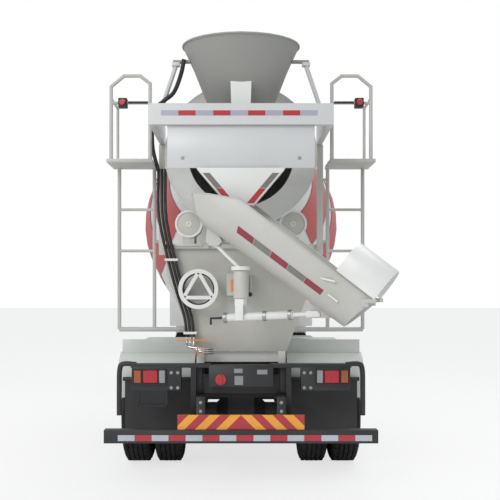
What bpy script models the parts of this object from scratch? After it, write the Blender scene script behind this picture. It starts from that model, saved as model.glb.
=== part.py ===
"""Six-wheel-drive-layout (6x4) concrete mixer truck, modelled in metres, +Z up, facing +Y.

Every piece is first placed in the bumper frame: y = 0 on the rear bumper's rear face, growing
forwards, x = 0 on the truck's centre line. An empty then carries all of them to the origin.
"""
import math

import bpy
from mathutils import Matrix, Vector

for old in list(bpy.data.objects):
    bpy.data.objects.remove(old, do_unlink=True)

# ---- driving dimensions (metres) ----
CLEARANCE = 0.0003          # gap between pieces that rest on or clip round each other
RUNNING = 0.006             # gap beside a moving piece
TYRE_RADIUS = 0.54
TYRE_WIDTH = 0.29
TYRE_SIDES = 24
TWIN_PITCH = 0.33           # middle of one twin tyre to the other
REAR_TRACK = 1.83           # middle of the left twin to the middle of the right twin
FRONT_TRACK = 2.02
KINGPIN_X = 0.80
REAR_AXLE_Y = 1.29
BOGIE_SPREAD = 1.35
WHEELBASE = 3.825           # front axle to the foremost rear axle
RAIL_OUT = 0.43
RAIL_THICK = 0.07
RAIL_BOTTOM = 0.82
RAIL_HEIGHT = 0.30
FRAME_REAR = 0.30
FRAME_FRONT = 7.75
SUBFRAME_HEIGHT = 0.12
DRUM_TILT = math.radians(12)
MOUTH_HEIGHT = 3.12
MOUTH_Y = 0.24
DRUM_RADIUS = 1.17
DRUM_WALL = 0.02
RACE_RADIUS = 0.64
RACE_AT = 0.42
ROLLER_X = 0.50
ROLLER_DROP = 0.58          # roller centre below the drum's axis, square to it
CAB_REAR = 6.10
CAB_FRONT = 7.90
CAB_HALF = 1.22
CAB_BOTTOM_REAR = 1.20
CAB_BOTTOM_FRONT = 0.96
CAB_FLOOR = 1.36
CAB_ROOF = 2.92
CAB_WALL = 0.06
BUMPER_HALF = 1.25
POST_Y = -0.37
CHUTE_YAW = math.radians(-17)
CHUTE_WALL = 0.012
EXTENSION_LENGTH = 0.39
EXTENSION_DEPTH = 0.29

AXLE_HEIGHT = TYRE_RADIUS * math.cos(math.pi / TYRE_SIDES)
RAIL_TOP = RAIL_BOTTOM + RAIL_HEIGHT
SUBFRAME_TOP = RAIL_TOP + CLEARANCE + SUBFRAME_HEIGHT
FORE_REAR_AXLE_Y = REAR_AXLE_Y + BOGIE_SPREAD
FRONT_AXLE_Y = FORE_REAR_AXLE_Y + WHEELBASE
RAIL_IN = RAIL_OUT - RAIL_THICK
SIDES = (("left", -1), ("right", 1))
X_AXIS, Y_AXIS, Z_AXIS = Vector((1, 0, 0)), Vector((0, 1, 0)), Vector((0, 0, 1))


# ---- shells: a shell is (points, faces), closed, with its faces pointing out ----
def block(x, y, z):
    """A box between the two values of x, of y and of z."""
    x, y, z = sorted(x), sorted(y), sorted(z)
    return prism([(x[0], y[0]), (x[1], y[0]), (x[1], y[1]), (x[0], y[1])], z[0], z[1], "z")


def prism(outline, low, high, axis):
    """An outline pushed from low to high along an axis. The outline's two columns are
    (x, y) for z, (x, z) for y and (y, z) for x."""
    place = {"z": lambda a, b, c: (a, b, c), "y": lambda a, b, c: (a, c, b),
             "x": lambda a, b, c: (c, a, b)}[axis]
    return loft([[place(a, b, end) for a, b in outline] for end in (low, high)])


def loft(rings):
    """A solid through rings of equally many points, with both ends closed."""
    count = len(rings[0])
    points = [Vector(point) for ring in rings for point in ring]
    faces = [list(range(count - 1, -1, -1)), [len(points) - count + i for i in range(count)]]
    for start in range(0, len(points) - count, count):
        for i in range(count):
            j = (i + 1) % count
            faces.append([start + i, start + j, start + count + j, start + count + i])
    return outward(points, faces)


def outward(points, faces):
    """Turns every face over when the shell's volume comes out negative."""
    volume = 0.0
    for face in faces:
        for i in range(1, len(face) - 1):
            a, b, c = points[face[0]], points[face[i]], points[face[i + 1]]
            volume += a.dot(b.cross(c))
    if volume < 0:
        faces = [face[::-1] for face in faces]
    return points, faces


def circle(centre, normal, radius, count, turn=0.5):
    """Points round a circle; a half turn step puts a flat side at the bottom."""
    normal = Vector(normal).normalized()
    helper = Z_AXIS if abs(normal.z) < 0.9 else Y_AXIS
    across = normal.cross(helper).normalized()
    down = across.cross(normal)
    ring = []
    for i in range(count):
        angle = 2 * math.pi * (i + turn) / count
        ring.append(Vector(centre) + radius * (math.cos(angle) * down + math.sin(angle) * across))
    return ring


def rod(start, end, radius, count=12):
    """A round bar from start to end."""
    axis = Vector(end) - Vector(start)
    return loft([circle(start, axis, radius, count), circle(end, axis, radius, count)])


def turned(profile, origin, axis, count):
    """A turned piece: rings at (along the axis, radius), the first and the last closed flat."""
    axis = Vector(axis).normalized()
    return loft([circle(Vector(origin) + along * axis, axis, radius, count)
                 for along, radius in profile])


def turned_hollow(profile, origin, axis, count):
    """A turned ring: the profile is a closed loop of (along the axis, radius)."""
    axis = Vector(axis).normalized()
    rings = [circle(Vector(origin) + along * axis, axis, radius, count)
             for along, radius in profile]
    points = [point for ring in rings for point in ring]
    faces = []
    for k in range(len(rings)):
        here, there = k * count, ((k + 1) % len(rings)) * count
        for i in range(count):
            j = (i + 1) % count
            faces.append([here + i, here + j, there + j, there + i])
    return outward(points, faces)


def pipe(points, radius, count=8):
    """A bent tube: rings square to the run at its ends and on the bisector at each bend."""
    points = [Vector(point) for point in points]
    rings = []
    side = None
    for i, point in enumerate(points):
        before = (point - points[max(i - 1, 0)]).normalized()
        after = (points[min(i + 1, len(points) - 1)] - point).normalized()
        run = (before + after).normalized()
        if side is None:
            helper = Z_AXIS if abs(run.z) < 0.9 else X_AXIS
            side = run.cross(helper).normalized()
        side = (side - side.dot(run) * run).normalized()
        up = side.cross(run)
        ring = []
        for k in range(count):
            angle = 2 * math.pi * k / count
            ring.append(point + radius * (math.cos(angle) * side + math.sin(angle) * up))
        rings.append(ring)
    return loft(rings)


def moved(shell, matrix):
    points, faces = shell
    return [matrix @ p for p in points], faces


# ---- objects ----
carrier = bpy.data.objects.new("truck_carrier", None)
bpy.context.collection.objects.link(carrier)
PAINTS = {}


def paint(name, colour, roughness, metallic=0.0):
    material = bpy.data.materials.new(name)
    material.use_nodes = True
    shader = material.node_tree.nodes["Principled BSDF"]
    shader.inputs["Base Color"].default_value = (*colour, 1.0)
    shader.inputs["Roughness"].default_value = roughness
    shader.inputs["Metallic"].default_value = metallic
    PAINTS[name] = material


for name, colour, roughness, metallic in (
    # name, colour, roughness, metallic
    ("body_white", (0.78, 0.78, 0.76), 0.35, 0.0),
    ("chassis_black", (0.02, 0.02, 0.025), 0.5, 0.0),
    ("tyre_rubber", (0.02, 0.02, 0.02), 0.85, 0.0),
    ("hose_rubber", (0.03, 0.03, 0.03), 0.6, 0.0),
    ("clear_glass", (0.5, 0.6, 0.6), 0.05, 0.0),
    ("cab_plastic", (0.08, 0.08, 0.085), 0.7, 0.0),
    ("board_yellow", (0.9, 0.5, 0.05), 0.4, 0.0),
    ("steel_grey", (0.35, 0.36, 0.37), 0.45, 0.8),
):
    paint(name, colour, roughness, metallic)


def mesh_object(name, shells, pivot=(0, 0, 0)):
    """One object of all the shells, its origin on the pivot."""
    pivot = Vector(pivot)
    points, faces = [], []
    for shell_points, shell_faces in shells:
        start = len(points)
        points += [tuple(point - pivot) for point in shell_points]
        faces += [[start + i for i in face] for face in shell_faces]
    mesh = bpy.data.meshes.new(name)
    mesh.from_pydata(points, [], faces)
    item = bpy.data.objects.new(name, mesh)
    bpy.context.collection.objects.link(item)
    item.location = pivot
    item.parent = carrier
    return item


def piece(name, finish, shells, cuts=(), pivot=(0, 0, 0)):
    """A named node: the first shell with the others united to it and the cuts taken away."""
    item = mesh_object(name, shells[:1], pivot)
    item.data.materials.append(PAINTS[finish])
    for kind, group in (("UNION", shells[1:]), ("DIFFERENCE", list(cuts))):
        if group:
            tool = mesh_object(name + "_" + kind.lower(), group)
            tool.hide_render = True
            tool.display_type = "WIRE"
            change = item.modifiers.new(kind.lower(), "BOOLEAN")
            change.operation = kind
            change.use_self = len(group) > 1
            change.object = tool
    return item


# ---- chassis ----
def rail(sign):
    """A C-shaped rail, open towards the middle of the truck."""
    web, flange = 0.010, 0.012
    outline = [(RAIL_OUT, RAIL_BOTTOM), (RAIL_OUT, RAIL_TOP), (RAIL_IN, RAIL_TOP),
               (RAIL_IN, RAIL_TOP - flange), (RAIL_OUT - web, RAIL_TOP - flange),
               (RAIL_OUT - web, RAIL_BOTTOM + flange), (RAIL_IN, RAIL_BOTTOM + flange),
               (RAIL_IN, RAIL_BOTTOM)]
    return prism([(sign * x, z) for x, z in outline], FRAME_REAR, FRAME_FRONT, "y")


CROSS_Y = (0.34, FORE_REAR_AXLE_Y - BOGIE_SPREAD / 2, 3.5, 4.6, FRAME_FRONT - 0.10)
CROSS_HALF = RAIL_OUT - 0.005
REST_HALF = 0.56            # cross bar that the cab's rear end rests on
piece("chassis_frame", "chassis_black",
      [rail(-1), rail(1),
       block((-REST_HALF, REST_HALF), (CAB_REAR + 0.06, CAB_REAR + 0.14), (RAIL_TOP - 0.003, CAB_BOTTOM_REAR - CLEARANCE))]
      + [block((-CROSS_HALF, CROSS_HALF), (y - 0.04, y + 0.04), (RAIL_BOTTOM + 0.03, RAIL_BOTTOM + 0.20))
         for y in CROSS_Y])

SUB_Z = (RAIL_TOP + CLEARANCE, SUBFRAME_TOP)
REDUCER_AT = 5.00           # along the drum's axis, the reducer's flange
AXIS = Vector((0, math.cos(DRUM_TILT), -math.sin(DRUM_TILT)))
DOWN = Vector((0, -math.sin(DRUM_TILT), -math.cos(DRUM_TILT)))
MOUTH = Vector((0, MOUTH_Y, MOUTH_HEIGHT))
REDUCER_RADIUS = 0.25
REDUCER_LENGTH = 0.42
saddle_top = (MOUTH + (REDUCER_AT + REDUCER_LENGTH / 2) * AXIS).z - REDUCER_RADIUS - 0.03
SADDLE_Y = (MOUTH + REDUCER_AT * AXIS).y
piece("mixer_subframe", "body_white",
      [block((s * RAIL_IN, s * RAIL_OUT), (0.44, 5.75), SUB_Z) for s in (-1, 1)]
      + [block((-RAIL_IN - 0.02, RAIL_IN + 0.02), (y, y + 0.10), (SUB_Z[0] + 0.01, SUB_Z[1] - 0.01))
         for y in (0.50, 2.0, 3.6, 5.0, 5.6)]
      + [prism([(4.80, SUB_Z[1] - 0.02), (5.70, SUB_Z[1] - 0.02), (SADDLE_Y + 0.36, saddle_top - 0.01),
                (SADDLE_Y + 0.02, saddle_top - 0.01)], s * (RAIL_OUT - 0.03), s * (RAIL_OUT - 0.01), "x")
         for s in (-1, 1)]
      + [block((-RAIL_OUT, RAIL_OUT), (SADDLE_Y + 0.02, SADDLE_Y + 0.36), (saddle_top - 0.03, saddle_top))])

foot_x = 0.18               # half width of the reducer's foot
piece("drum_reducer", "steel_grey",
      [turned([(0.0, 0.20), (0.05, REDUCER_RADIUS), (REDUCER_LENGTH - 0.06, REDUCER_RADIUS),
               (REDUCER_LENGTH, 0.16)], MOUTH + REDUCER_AT * AXIS, AXIS, 20),
       block((-foot_x, foot_x), (SADDLE_Y + 0.06, SADDLE_Y + 0.32), (saddle_top + CLEARANCE, saddle_top + 0.14))])

# Tank for washing water, across the frame behind the cab, on two cradle posts.
TANK_Y, TANK_Z, TANK_RADIUS = 5.87, 1.72, 0.20
piece("water_tank", "body_white",
      [rod((-0.85, TANK_Y, TANK_Z), (0.85, TANK_Y, TANK_Z), TANK_RADIUS, 20)]
      + [block((s * 0.37, s * 0.42), (TANK_Y - 0.05, TANK_Y + 0.05), (RAIL_TOP + CLEARANCE, TANK_Z - 0.1))
         for s in (-1, 1)])

# Engine and gearbox as one plain block in the frame, with the shaft to the rear axles.
SHAFT_END_Y = FORE_REAR_AXLE_Y + 0.26
piece("engine_and_driveshaft", "steel_grey",
      [block((-0.27, 0.27), (5.30, 7.25), (RAIL_BOTTOM - 0.04, RAIL_TOP - 0.005)),
       block((-0.16, 0.16), (4.75, 5.35), (RAIL_BOTTOM - 0.06, RAIL_BOTTOM + 0.20)),
       block((-CROSS_HALF + 0.006, CROSS_HALF - 0.006), (6.20, 6.30), (RAIL_BOTTOM + 0.06, RAIL_BOTTOM + 0.14)),
       rod((0, SHAFT_END_Y, AXLE_HEIGHT + 0.04), (0, 4.80, RAIL_BOTTOM), 0.05, 12)])

# Tanks and boxes outside the rails, each hung on two brackets.
TANK_GAP = 0.03
for name, sign, y, z in (
    # name, side, y range, z range
    ("fuel_tank", 1, (4.30, 5.45), (0.52, 1.08)),
    ("battery_box", -1, (4.30, 5.30), (0.56, 1.06)),
):
    inner, outer = RAIL_OUT + TANK_GAP, 1.13
    piece(name, "steel_grey",
          [block((sign * inner, sign * outer), y, z)]
          + [block((sign * (RAIL_OUT + CLEARANCE), sign * (inner + 0.05)), (end - 0.04, end + 0.04),
                   (RAIL_BOTTOM + 0.02, z[1] - 0.04)) for end in (y[0] + 0.2, y[1] - 0.2)])

# ---- axles, springs and wheels ----
BEAM_RADIUS = 0.085
AXLE_SIDES = 16
AXLE_END_RADIUS = 0.055
STUB_RADIUS = 0.045
SPRING_X = 0.40
for name, y in (("rear_axle_rear", REAR_AXLE_Y), ("rear_axle_front", FORE_REAR_AXLE_Y)):
    centre = Vector((0, y, AXLE_HEIGHT))
    reach = REAR_TRACK / 2 + 0.18
    piece(name, "chassis_black",
          [turned([(-reach, AXLE_END_RADIUS), (-0.56, AXLE_END_RADIUS), (-0.54, BEAM_RADIUS), (-0.26, BEAM_RADIUS),
                   (-0.14, 0.20), (0.14, 0.20), (0.26, BEAM_RADIUS), (0.54, BEAM_RADIUS),
                   (0.56, AXLE_END_RADIUS), (reach, AXLE_END_RADIUS)], centre, X_AXIS, AXLE_SIDES)])

TRUNNION_Y = REAR_AXLE_Y + BOGIE_SPREAD / 2
SPRING_Z = AXLE_HEIGHT + BEAM_RADIUS * math.cos(math.pi / AXLE_SIDES) + CLEARANCE
spring = [(REAR_AXLE_Y - 0.10, SPRING_Z), (FORE_REAR_AXLE_Y + 0.10, SPRING_Z),
          (FORE_REAR_AXLE_Y + 0.10, SPRING_Z + 0.02), (TRUNNION_Y + 0.12, SPRING_Z + 0.13),
          (TRUNNION_Y - 0.12, SPRING_Z + 0.13), (REAR_AXLE_Y - 0.10, SPRING_Z + 0.02)]
piece("bogie_springs", "chassis_black",
      [prism(spring, s * (SPRING_X - 0.04), s * (SPRING_X + 0.04), "x") for s in (-1, 1)]
      + [block((s * (SPRING_X - 0.05), s * (SPRING_X + 0.02)), (TRUNNION_Y - 0.14, TRUNNION_Y + 0.14),
               (SPRING_Z + 0.06, RAIL_BOTTOM - CLEARANCE)) for s in (-1, 1)]
      + [rod((-SPRING_X, TRUNNION_Y, SPRING_Z + 0.05), (SPRING_X, TRUNNION_Y, SPRING_Z + 0.05), 0.05)])

FRONT_BEAM_Z = AXLE_HEIGHT - 0.10
KINGPIN_RADIUS = 0.03
spring_y = (FRONT_AXLE_Y - 0.75, FRONT_AXLE_Y + 0.75)
front_spring = [(spring_y[0], 0.76), (spring_y[0], 0.72), (FRONT_AXLE_Y - 0.1, FRONT_BEAM_Z + 0.05),
                (FRONT_AXLE_Y + 0.1, FRONT_BEAM_Z + 0.05), (spring_y[1], 0.72), (spring_y[1], 0.76),
                (FRONT_AXLE_Y, FRONT_BEAM_Z + 0.12)]
piece("front_axle", "chassis_black",
      [block((-KINGPIN_X + 0.08, KINGPIN_X - 0.08), (FRONT_AXLE_Y - 0.05, FRONT_AXLE_Y + 0.05),
             (FRONT_BEAM_Z - 0.05, FRONT_BEAM_Z + 0.05))]
      + [rod((s * KINGPIN_X, FRONT_AXLE_Y, AXLE_HEIGHT - 0.07), (s * KINGPIN_X, FRONT_AXLE_Y, AXLE_HEIGHT + 0.07),
             0.045, 16) for s in (-1, 1)]
      + [block((s * (KINGPIN_X - 0.15), s * (KINGPIN_X - 0.078)), (FRONT_AXLE_Y - 0.045, FRONT_AXLE_Y + 0.045),
               (FRONT_BEAM_Z - 0.04, AXLE_HEIGHT + 0.05)) for s in (-1, 1)]
      + [block((s * (KINGPIN_X - 0.10), s * KINGPIN_X), (FRONT_AXLE_Y - 0.03, FRONT_AXLE_Y + 0.03),
               (AXLE_HEIGHT - 0.04, AXLE_HEIGHT + 0.04)) for s in (-1, 1)]
      + [rod((s * KINGPIN_X, FRONT_AXLE_Y, AXLE_HEIGHT - 0.16), (s * KINGPIN_X, FRONT_AXLE_Y, AXLE_HEIGHT + 0.16),
             KINGPIN_RADIUS, 16) for s in (-1, 1)]
      + [prism(front_spring, s * (SPRING_X - 0.04), s * (SPRING_X + 0.04), "x") for s in (-1, 1)]
      + [block((s * (SPRING_X - 0.03), s * (SPRING_X + 0.03)), (y - 0.04, y + 0.04),
               (0.74, RAIL_BOTTOM - CLEARANCE)) for s in (-1, 1) for y in (spring_y[0] + 0.05, spring_y[1] - 0.05)])

# A knuckle is a fork round the end of the axle beam with the stub that the wheel turns on.
STUB_END = FRONT_TRACK / 2 + 0.14
for side, sign in SIDES:
    pin = Vector((sign * KINGPIN_X, FRONT_AXLE_Y, AXLE_HEIGHT))
    arms = [block((sign * (KINGPIN_X - 0.05), sign * (KINGPIN_X + 0.10)), (FRONT_AXLE_Y - 0.05, FRONT_AXLE_Y + 0.05),
                  (AXLE_HEIGHT + end * 0.076, AXLE_HEIGHT + end * 0.12)) for end in (-1, 1)]
    web = block((sign * (KINGPIN_X + 0.06), sign * (KINGPIN_X + 0.10)), (FRONT_AXLE_Y - 0.05, FRONT_AXLE_Y + 0.05),
                (AXLE_HEIGHT - 0.115, AXLE_HEIGHT + 0.115))
    stub = rod((sign * (KINGPIN_X + 0.08), FRONT_AXLE_Y, AXLE_HEIGHT), (sign * STUB_END, FRONT_AXLE_Y, AXLE_HEIGHT),
               STUB_RADIUS, AXLE_SIDES)
    bore = rod(pin - 0.2 * Z_AXIS, pin + 0.2 * Z_AXIS, KINGPIN_RADIUS + 0.001, 16)
    piece("knuckle_" + side, "chassis_black", [web, *arms, stub], [bore], pin)


def tyre_profile(middle):
    """(along the axle, radius) of one tyre, from its inner bead to its outer bead."""
    half, r = TYRE_WIDTH / 2, TYRE_RADIUS
    return [(middle - half + 0.03, 0.30), (middle - half, 0.42), (middle - half + 0.03, r),
            (middle + half - 0.03, r), (middle + half, 0.42), (middle + half - 0.03, 0.30)]


def hub_bore(shaft_radius):
    """The bore whose flats clear a round shaft."""
    return (shaft_radius + CLEARANCE) / math.cos(math.pi / TYRE_SIDES)


REAR_BORE, FRONT_BORE = hub_bore(AXLE_END_RADIUS), hub_bore(STUB_RADIUS)
for row, y in (("rear", REAR_AXLE_Y), ("front", FORE_REAR_AXLE_Y)):
    for side, sign in SIDES:
        centre = Vector((sign * REAR_TRACK / 2, y, AXLE_HEIGHT))
        pitch, half = TWIN_PITCH / 2, TYRE_WIDTH / 2
        # The loop runs over both tyres, back through the dished disc and the drum of the hub.
        loop = (tyre_profile(-pitch) + tyre_profile(pitch)
                + [(pitch + half - 0.03, 0.26), (pitch - 0.05, 0.25), (pitch - 0.09, 0.20), (pitch + 0.02, 0.17),
                   (pitch + 0.05, 0.10), (pitch + 0.05, REAR_BORE), (-0.02, REAR_BORE), (-0.02, 0.26),
                   (-pitch - half + 0.03, 0.27)])
        wheel = turned_hollow(loop, centre, sign * X_AXIS, TYRE_SIDES)
        piece("rear_twin_wheel_%s_%s" % (row, side), "tyre_rubber", [wheel], pivot=centre)
for side, sign in SIDES:
    centre = Vector((sign * FRONT_TRACK / 2, FRONT_AXLE_Y, AXLE_HEIGHT))
    half = TYRE_WIDTH / 2
    loop = (tyre_profile(0.0)
            + [(half - 0.03, 0.27), (0.09, 0.26), (0.09, 0.19), (half + 0.03, 0.13), (half + 0.03, FRONT_BORE),
               (0.06, FRONT_BORE), (0.06, 0.26), (-half + 0.03, 0.275)])
    wheel = turned_hollow(loop, centre, sign * X_AXIS, TYRE_SIDES)
    piece("front_wheel_" + side, "tyre_rubber", [wheel], pivot=centre)

# ---- drum ----
# (along the axis from the mouth, outer radius)
DRUM_OUTSIDE = [(0.0, 0.72), (0.05, 0.72), (0.10, 0.61), (RACE_AT - 0.06, 0.605), (RACE_AT - 0.06, RACE_RADIUS),
                (RACE_AT + 0.06, RACE_RADIUS), (RACE_AT + 0.06, 0.615), (0.60, 0.64), (2.25, DRUM_RADIUS),
                (3.20, DRUM_RADIUS), (4.75, 0.62), (4.87, 0.30), (REDUCER_AT - CLEARANCE, 0.20)]
DRUM_INSIDE = [(4.85, 0.28), (4.73, 0.60), (3.195, DRUM_RADIUS - DRUM_WALL), (2.255, DRUM_RADIUS - DRUM_WALL),
               (0.60, 0.60), (0.12, 0.56), (0.06, 0.50), (0.03, 0.69)]
drum_rings = [circle(MOUTH + along * AXIS, AXIS, radius, 32)
              for along, radius in list(reversed(DRUM_OUTSIDE)) + list(reversed(DRUM_INSIDE))]
piece("drum", "body_white", [loft(drum_rings)], pivot=MOUTH)

race_centre = MOUTH + RACE_AT * AXIS
ROLLER_DISTANCE = math.hypot(ROLLER_X, ROLLER_DROP)
ROLLER_RADIUS = ROLLER_DISTANCE - RACE_RADIUS - CLEARANCE
ROLLER_HALF = 0.05
roller_shafts = []
for side, sign in SIDES:
    centre = race_centre + sign * ROLLER_X * X_AXIS + ROLLER_DROP * DOWN
    roller_shafts.append(centre)
    piece("drum_roller_" + side, "steel_grey",
          [turned([(-0.11, 0.03), (-ROLLER_HALF, 0.03), (-ROLLER_HALF + 0.001, ROLLER_RADIUS),
                   (ROLLER_HALF - 0.001, ROLLER_RADIUS), (ROLLER_HALF, 0.03), (0.11, 0.03)],
                  centre, AXIS, 16)], pivot=centre)

# ---- rear pedestal ----
PLATE_Y = (0.44, 0.48)
PED_TOP, PED_SHOULDER = 2.27, 1.98
PED_HALF, PED_FOOT = 0.72, 0.44
UPRIGHT_X = (0.735, 0.795)
BEAM_Y = (-0.46, -0.39)
BEAM_Z = (3.24, 3.42)
pedestal_outline = [(-PED_FOOT, SUBFRAME_TOP + CLEARANCE), (PED_FOOT, SUBFRAME_TOP + CLEARANCE),
                    (PED_HALF, PED_SHOULDER), (PED_HALF, PED_TOP), (-PED_HALF, PED_TOP), (-PED_HALF, PED_SHOULDER)]
HOUSING_Z = (1.76, 2.00)
POST_RADIUS = 0.045
bearing = [block((sign * ROLLER_X - 0.06, sign * ROLLER_X + 0.06), (centre.y + end * 0.085 - 0.01, centre.y + end * 0.085 + 0.01),
                 (PED_TOP - 0.02, centre.z + 0.05)) for sign, centre in zip((-1, 1), roller_shafts) for end in (-1, 1)]
covers = [rod((c.x, c.y - 0.16, c.z), (c.x, c.y - 0.13, c.z), 0.13, 24) for c in roller_shafts]
cover_arms = [block((c.x - 0.05, c.x + 0.05), (c.y - 0.15, c.y - 0.08), (PED_TOP - 0.015, c.z - 0.05)) for c in roller_shafts]
shelves = [block((c.x - 0.13, c.x + 0.13), (c.y - 0.155, c.y + 0.13), (PED_TOP - 0.02, PED_TOP + 0.005)) for c in roller_shafts]
shaft_bores = [rod(c - 0.12 * AXIS, c + 0.12 * AXIS, 0.0306, 16) for c in roller_shafts]
piece("rear_pedestal", "body_white",
      [prism(pedestal_outline, *PLATE_Y, "y"),
       block((-PED_HALF - 0.03, PED_HALF + 0.03), (PLATE_Y[0] - 0.05, PLATE_Y[1] + 0.05), (PED_TOP - 0.04, PED_TOP)),
       rod((0, POST_Y, HOUSING_Z[0]), (0, POST_Y, HOUSING_Z[1]), 0.066, 20),
       block((-0.03, 0.03), (POST_Y + 0.03, PLATE_Y[0] + 0.01), (HOUSING_Z[0] + 0.02, HOUSING_Z[1] - 0.02)),
       block((-0.12, 0.11), (PLATE_Y[0] - 0.06, PLATE_Y[0] + 0.01), (HOUSING_Z[0] - 0.02, HOUSING_Z[1] - 0.01)),
       *[block((s * (PED_HALF - 0.02), s * UPRIGHT_X[1]), (PLATE_Y[0], PLATE_Y[1]), (PED_TOP - 0.10, PED_TOP - 0.01)) for s in (-1, 1)],
       *[block((s * UPRIGHT_X[0], s * UPRIGHT_X[1]), (PLATE_Y[0] + 0.002, PLATE_Y[1] - 0.002), (PED_TOP - 0.08, BEAM_Z[0] - CLEARANCE))
         for s in (-1, 1)],
       *shelves, *bearing, *cover_arms, *covers],
      [rod((0, POST_Y, HOUSING_Z[0] - 0.1), (0, POST_Y, HOUSING_Z[1] + 0.1), POST_RADIUS + 0.001, 20), *shaft_bores])

# ---- hopper, its frame, the splash panel and the discharge funnel ----
def ellipse(centre_y, z, half_x, half_y, count=28):
    ring = []
    for i in range(count):
        angle = 2 * math.pi * i / count
        ring.append((half_x * math.cos(angle), centre_y + half_y * math.sin(angle), z))
    return ring


HOPPER_WALL = 0.012
# height, middle y, half width, half depth
HOPPER_SECTIONS = [(3.16, 0.36, 0.20, 0.11), (3.27, 0.24, 0.22, 0.12), (3.40, 0.10, 0.25, 0.14),
                   (3.50, -0.01, 0.30, 0.17), (3.76, -0.16, 0.41, 0.28), (3.98, -0.20, 0.515, 0.41)]
outer_rings = [ellipse(y, z, hx, hy) for z, y, hx, hy in HOPPER_SECTIONS]
inner_rings = [ellipse(y, z, hx - HOPPER_WALL, hy - HOPPER_WALL) for z, y, hx, hy in HOPPER_SECTIONS]
points = [Vector(p) for ring in outer_rings + inner_rings[::-1] for p in ring]
count = len(outer_rings[0])
faces = []
rings_total = len(outer_rings) * 2
for k in range(rings_total):
    here, there = k * count, ((k + 1) % rings_total) * count
    faces += [[here + i, here + (i + 1) % count, there + (i + 1) % count, there + i] for i in range(count)]
EAR_Z = 3.84                # underside of the hopper's two ears
hopper_ears = [block((s * 0.450, s * 0.60), (-0.215, -0.165), (EAR_Z, EAR_Z + 0.02)) for s in (-1, 1)]
piece("hopper", "body_white", [outward(points, faces), *hopper_ears])

ARM_X = (0.735, 0.785)
BEAM_HALF = 0.785
struts = [rod((s * 0.755, 0.02, BEAM_Z[1] - 0.02), (s * 0.575, -0.19, EAR_Z - 0.025), 0.02, 8) for s in (-1, 1)]
strut_ends = [block((s * 0.54, s * 0.61), (-0.22, -0.16), (EAR_Z - 0.03, EAR_Z - CLEARANCE)) for s in (-1, 1)]
piece("hopper_frame", "body_white",
      [block((-BEAM_HALF, BEAM_HALF), BEAM_Y, BEAM_Z)]
      + [block((s * ARM_X[0], s * ARM_X[1]), (BEAM_Y[0] + 0.01, PLATE_Y[1] + 0.02), (BEAM_Z[0], BEAM_Z[1] - 0.002)) for s in (-1, 1)]
      + struts + strut_ends)
SPLASH_Y = (-0.426, -0.418)
SPLASH_HALF = 0.63
SPLASH_LOW = 2.875
piece("splash_panel", "body_white",
      [block((-SPLASH_HALF, SPLASH_HALF), SPLASH_Y, (SPLASH_LOW, BEAM_Z[0] - CLEARANCE)),
       *[block((s * (SPLASH_HALF - 0.012), s * SPLASH_HALF), (SPLASH_Y[1] - 0.004, SPLASH_Y[1] + 0.03), (SPLASH_LOW + 0.01, BEAM_Z[0] - 0.01))
         for s in (-1, 1)]])
FUNNEL_Z = (2.555, SPLASH_LOW - CLEARANCE)
FUNNEL_TOP, FUNNEL_BOTTOM = 0.38, 0.11
front_plate = [(-FUNNEL_BOTTOM, FUNNEL_Z[0]), (FUNNEL_BOTTOM, FUNNEL_Z[0]), (FUNNEL_TOP, FUNNEL_Z[1]), (-FUNNEL_TOP, FUNNEL_Z[1])]
inner_plate = [(-FUNNEL_BOTTOM + 0.012, FUNNEL_Z[0] - 0.05), (FUNNEL_BOTTOM - 0.012, FUNNEL_Z[0] - 0.05),
               (FUNNEL_BOTTOM - 0.012, FUNNEL_Z[0] + 0.005), (FUNNEL_TOP - 0.012, FUNNEL_Z[1] + 0.05),
               (-FUNNEL_TOP + 0.012, FUNNEL_Z[1] + 0.05), (-FUNNEL_BOTTOM + 0.012, FUNNEL_Z[0] + 0.005)]
piece("discharge_funnel", "body_white",
      [prism(front_plate, -0.445, -0.31, "y")], [prism(inner_plate, -0.433, -0.20, "y")])

# ---- discharge chute: trough, folding extension, swing post and screw jack ----
chute_frame = Matrix.Translation((0, POST_Y, 0)) @ Matrix.Rotation(CHUTE_YAW, 4, "Z")
CHUTE_PIN = Vector((-0.257, 0, 2.254))
JACK_FOOT = Vector((0, 0, 1.60))
JACK_EYE = Vector((0.67, 0, 1.636))
CHUTE_HINGE = Vector((1.168, 0, 1.7485))
ARC_STEPS = 8


def trough(bottom, rim, half_width, wall):
    """One U across the chute from a bottom point to a rim point, both (x, z), wall shrinking it."""
    ring = []
    half = half_width - wall
    for i in range(ARC_STEPS + 1):
        angle = math.pi * (i / ARC_STEPS - 0.5)
        share = 0.55 * (1 - math.cos(angle))
        ring.append((half * math.sin(angle), share))
    ring = [(-half, 1.0)] + ring + [(half, 1.0)]
    depth = math.hypot(rim[0] - bottom[0], rim[1] - bottom[1])
    lift = wall / depth
    top = 1.0 + (0.25 if wall else 0.0)
    points = []
    for across, share in ring:
        share = top if share == 1.0 else share * (1 - lift) + lift
        points.append((bottom[0] + share * (rim[0] - bottom[0]), across,
                       bottom[1] + share * (rim[1] - bottom[1])))
    return points


# bottom x, bottom z, rim x, rim z, half width
CHUTE_SECTIONS = [(-0.37, 2.45, -0.42, 2.655, 0.08), (-0.32, 2.385, -0.37, 2.652, 0.19), (-0.20, 2.305, -0.22, 2.635, 0.24),
                  (-0.05, 2.20, 0.06, 2.58, 0.24), (0.89, 1.529, 1.146, 1.74, 0.225)]
outside = loft([trough((bx, bz), (rx, rz), half, 0.0) for bx, bz, rx, rz, half in CHUTE_SECTIONS])
inside_sections = [(bx + (CHUTE_WALL if i == 0 else 0), bz, rx + (CHUTE_WALL if i == 0 else 0), rz, half)
                   for i, (bx, bz, rx, rz, half) in enumerate(CHUTE_SECTIONS)]
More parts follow.
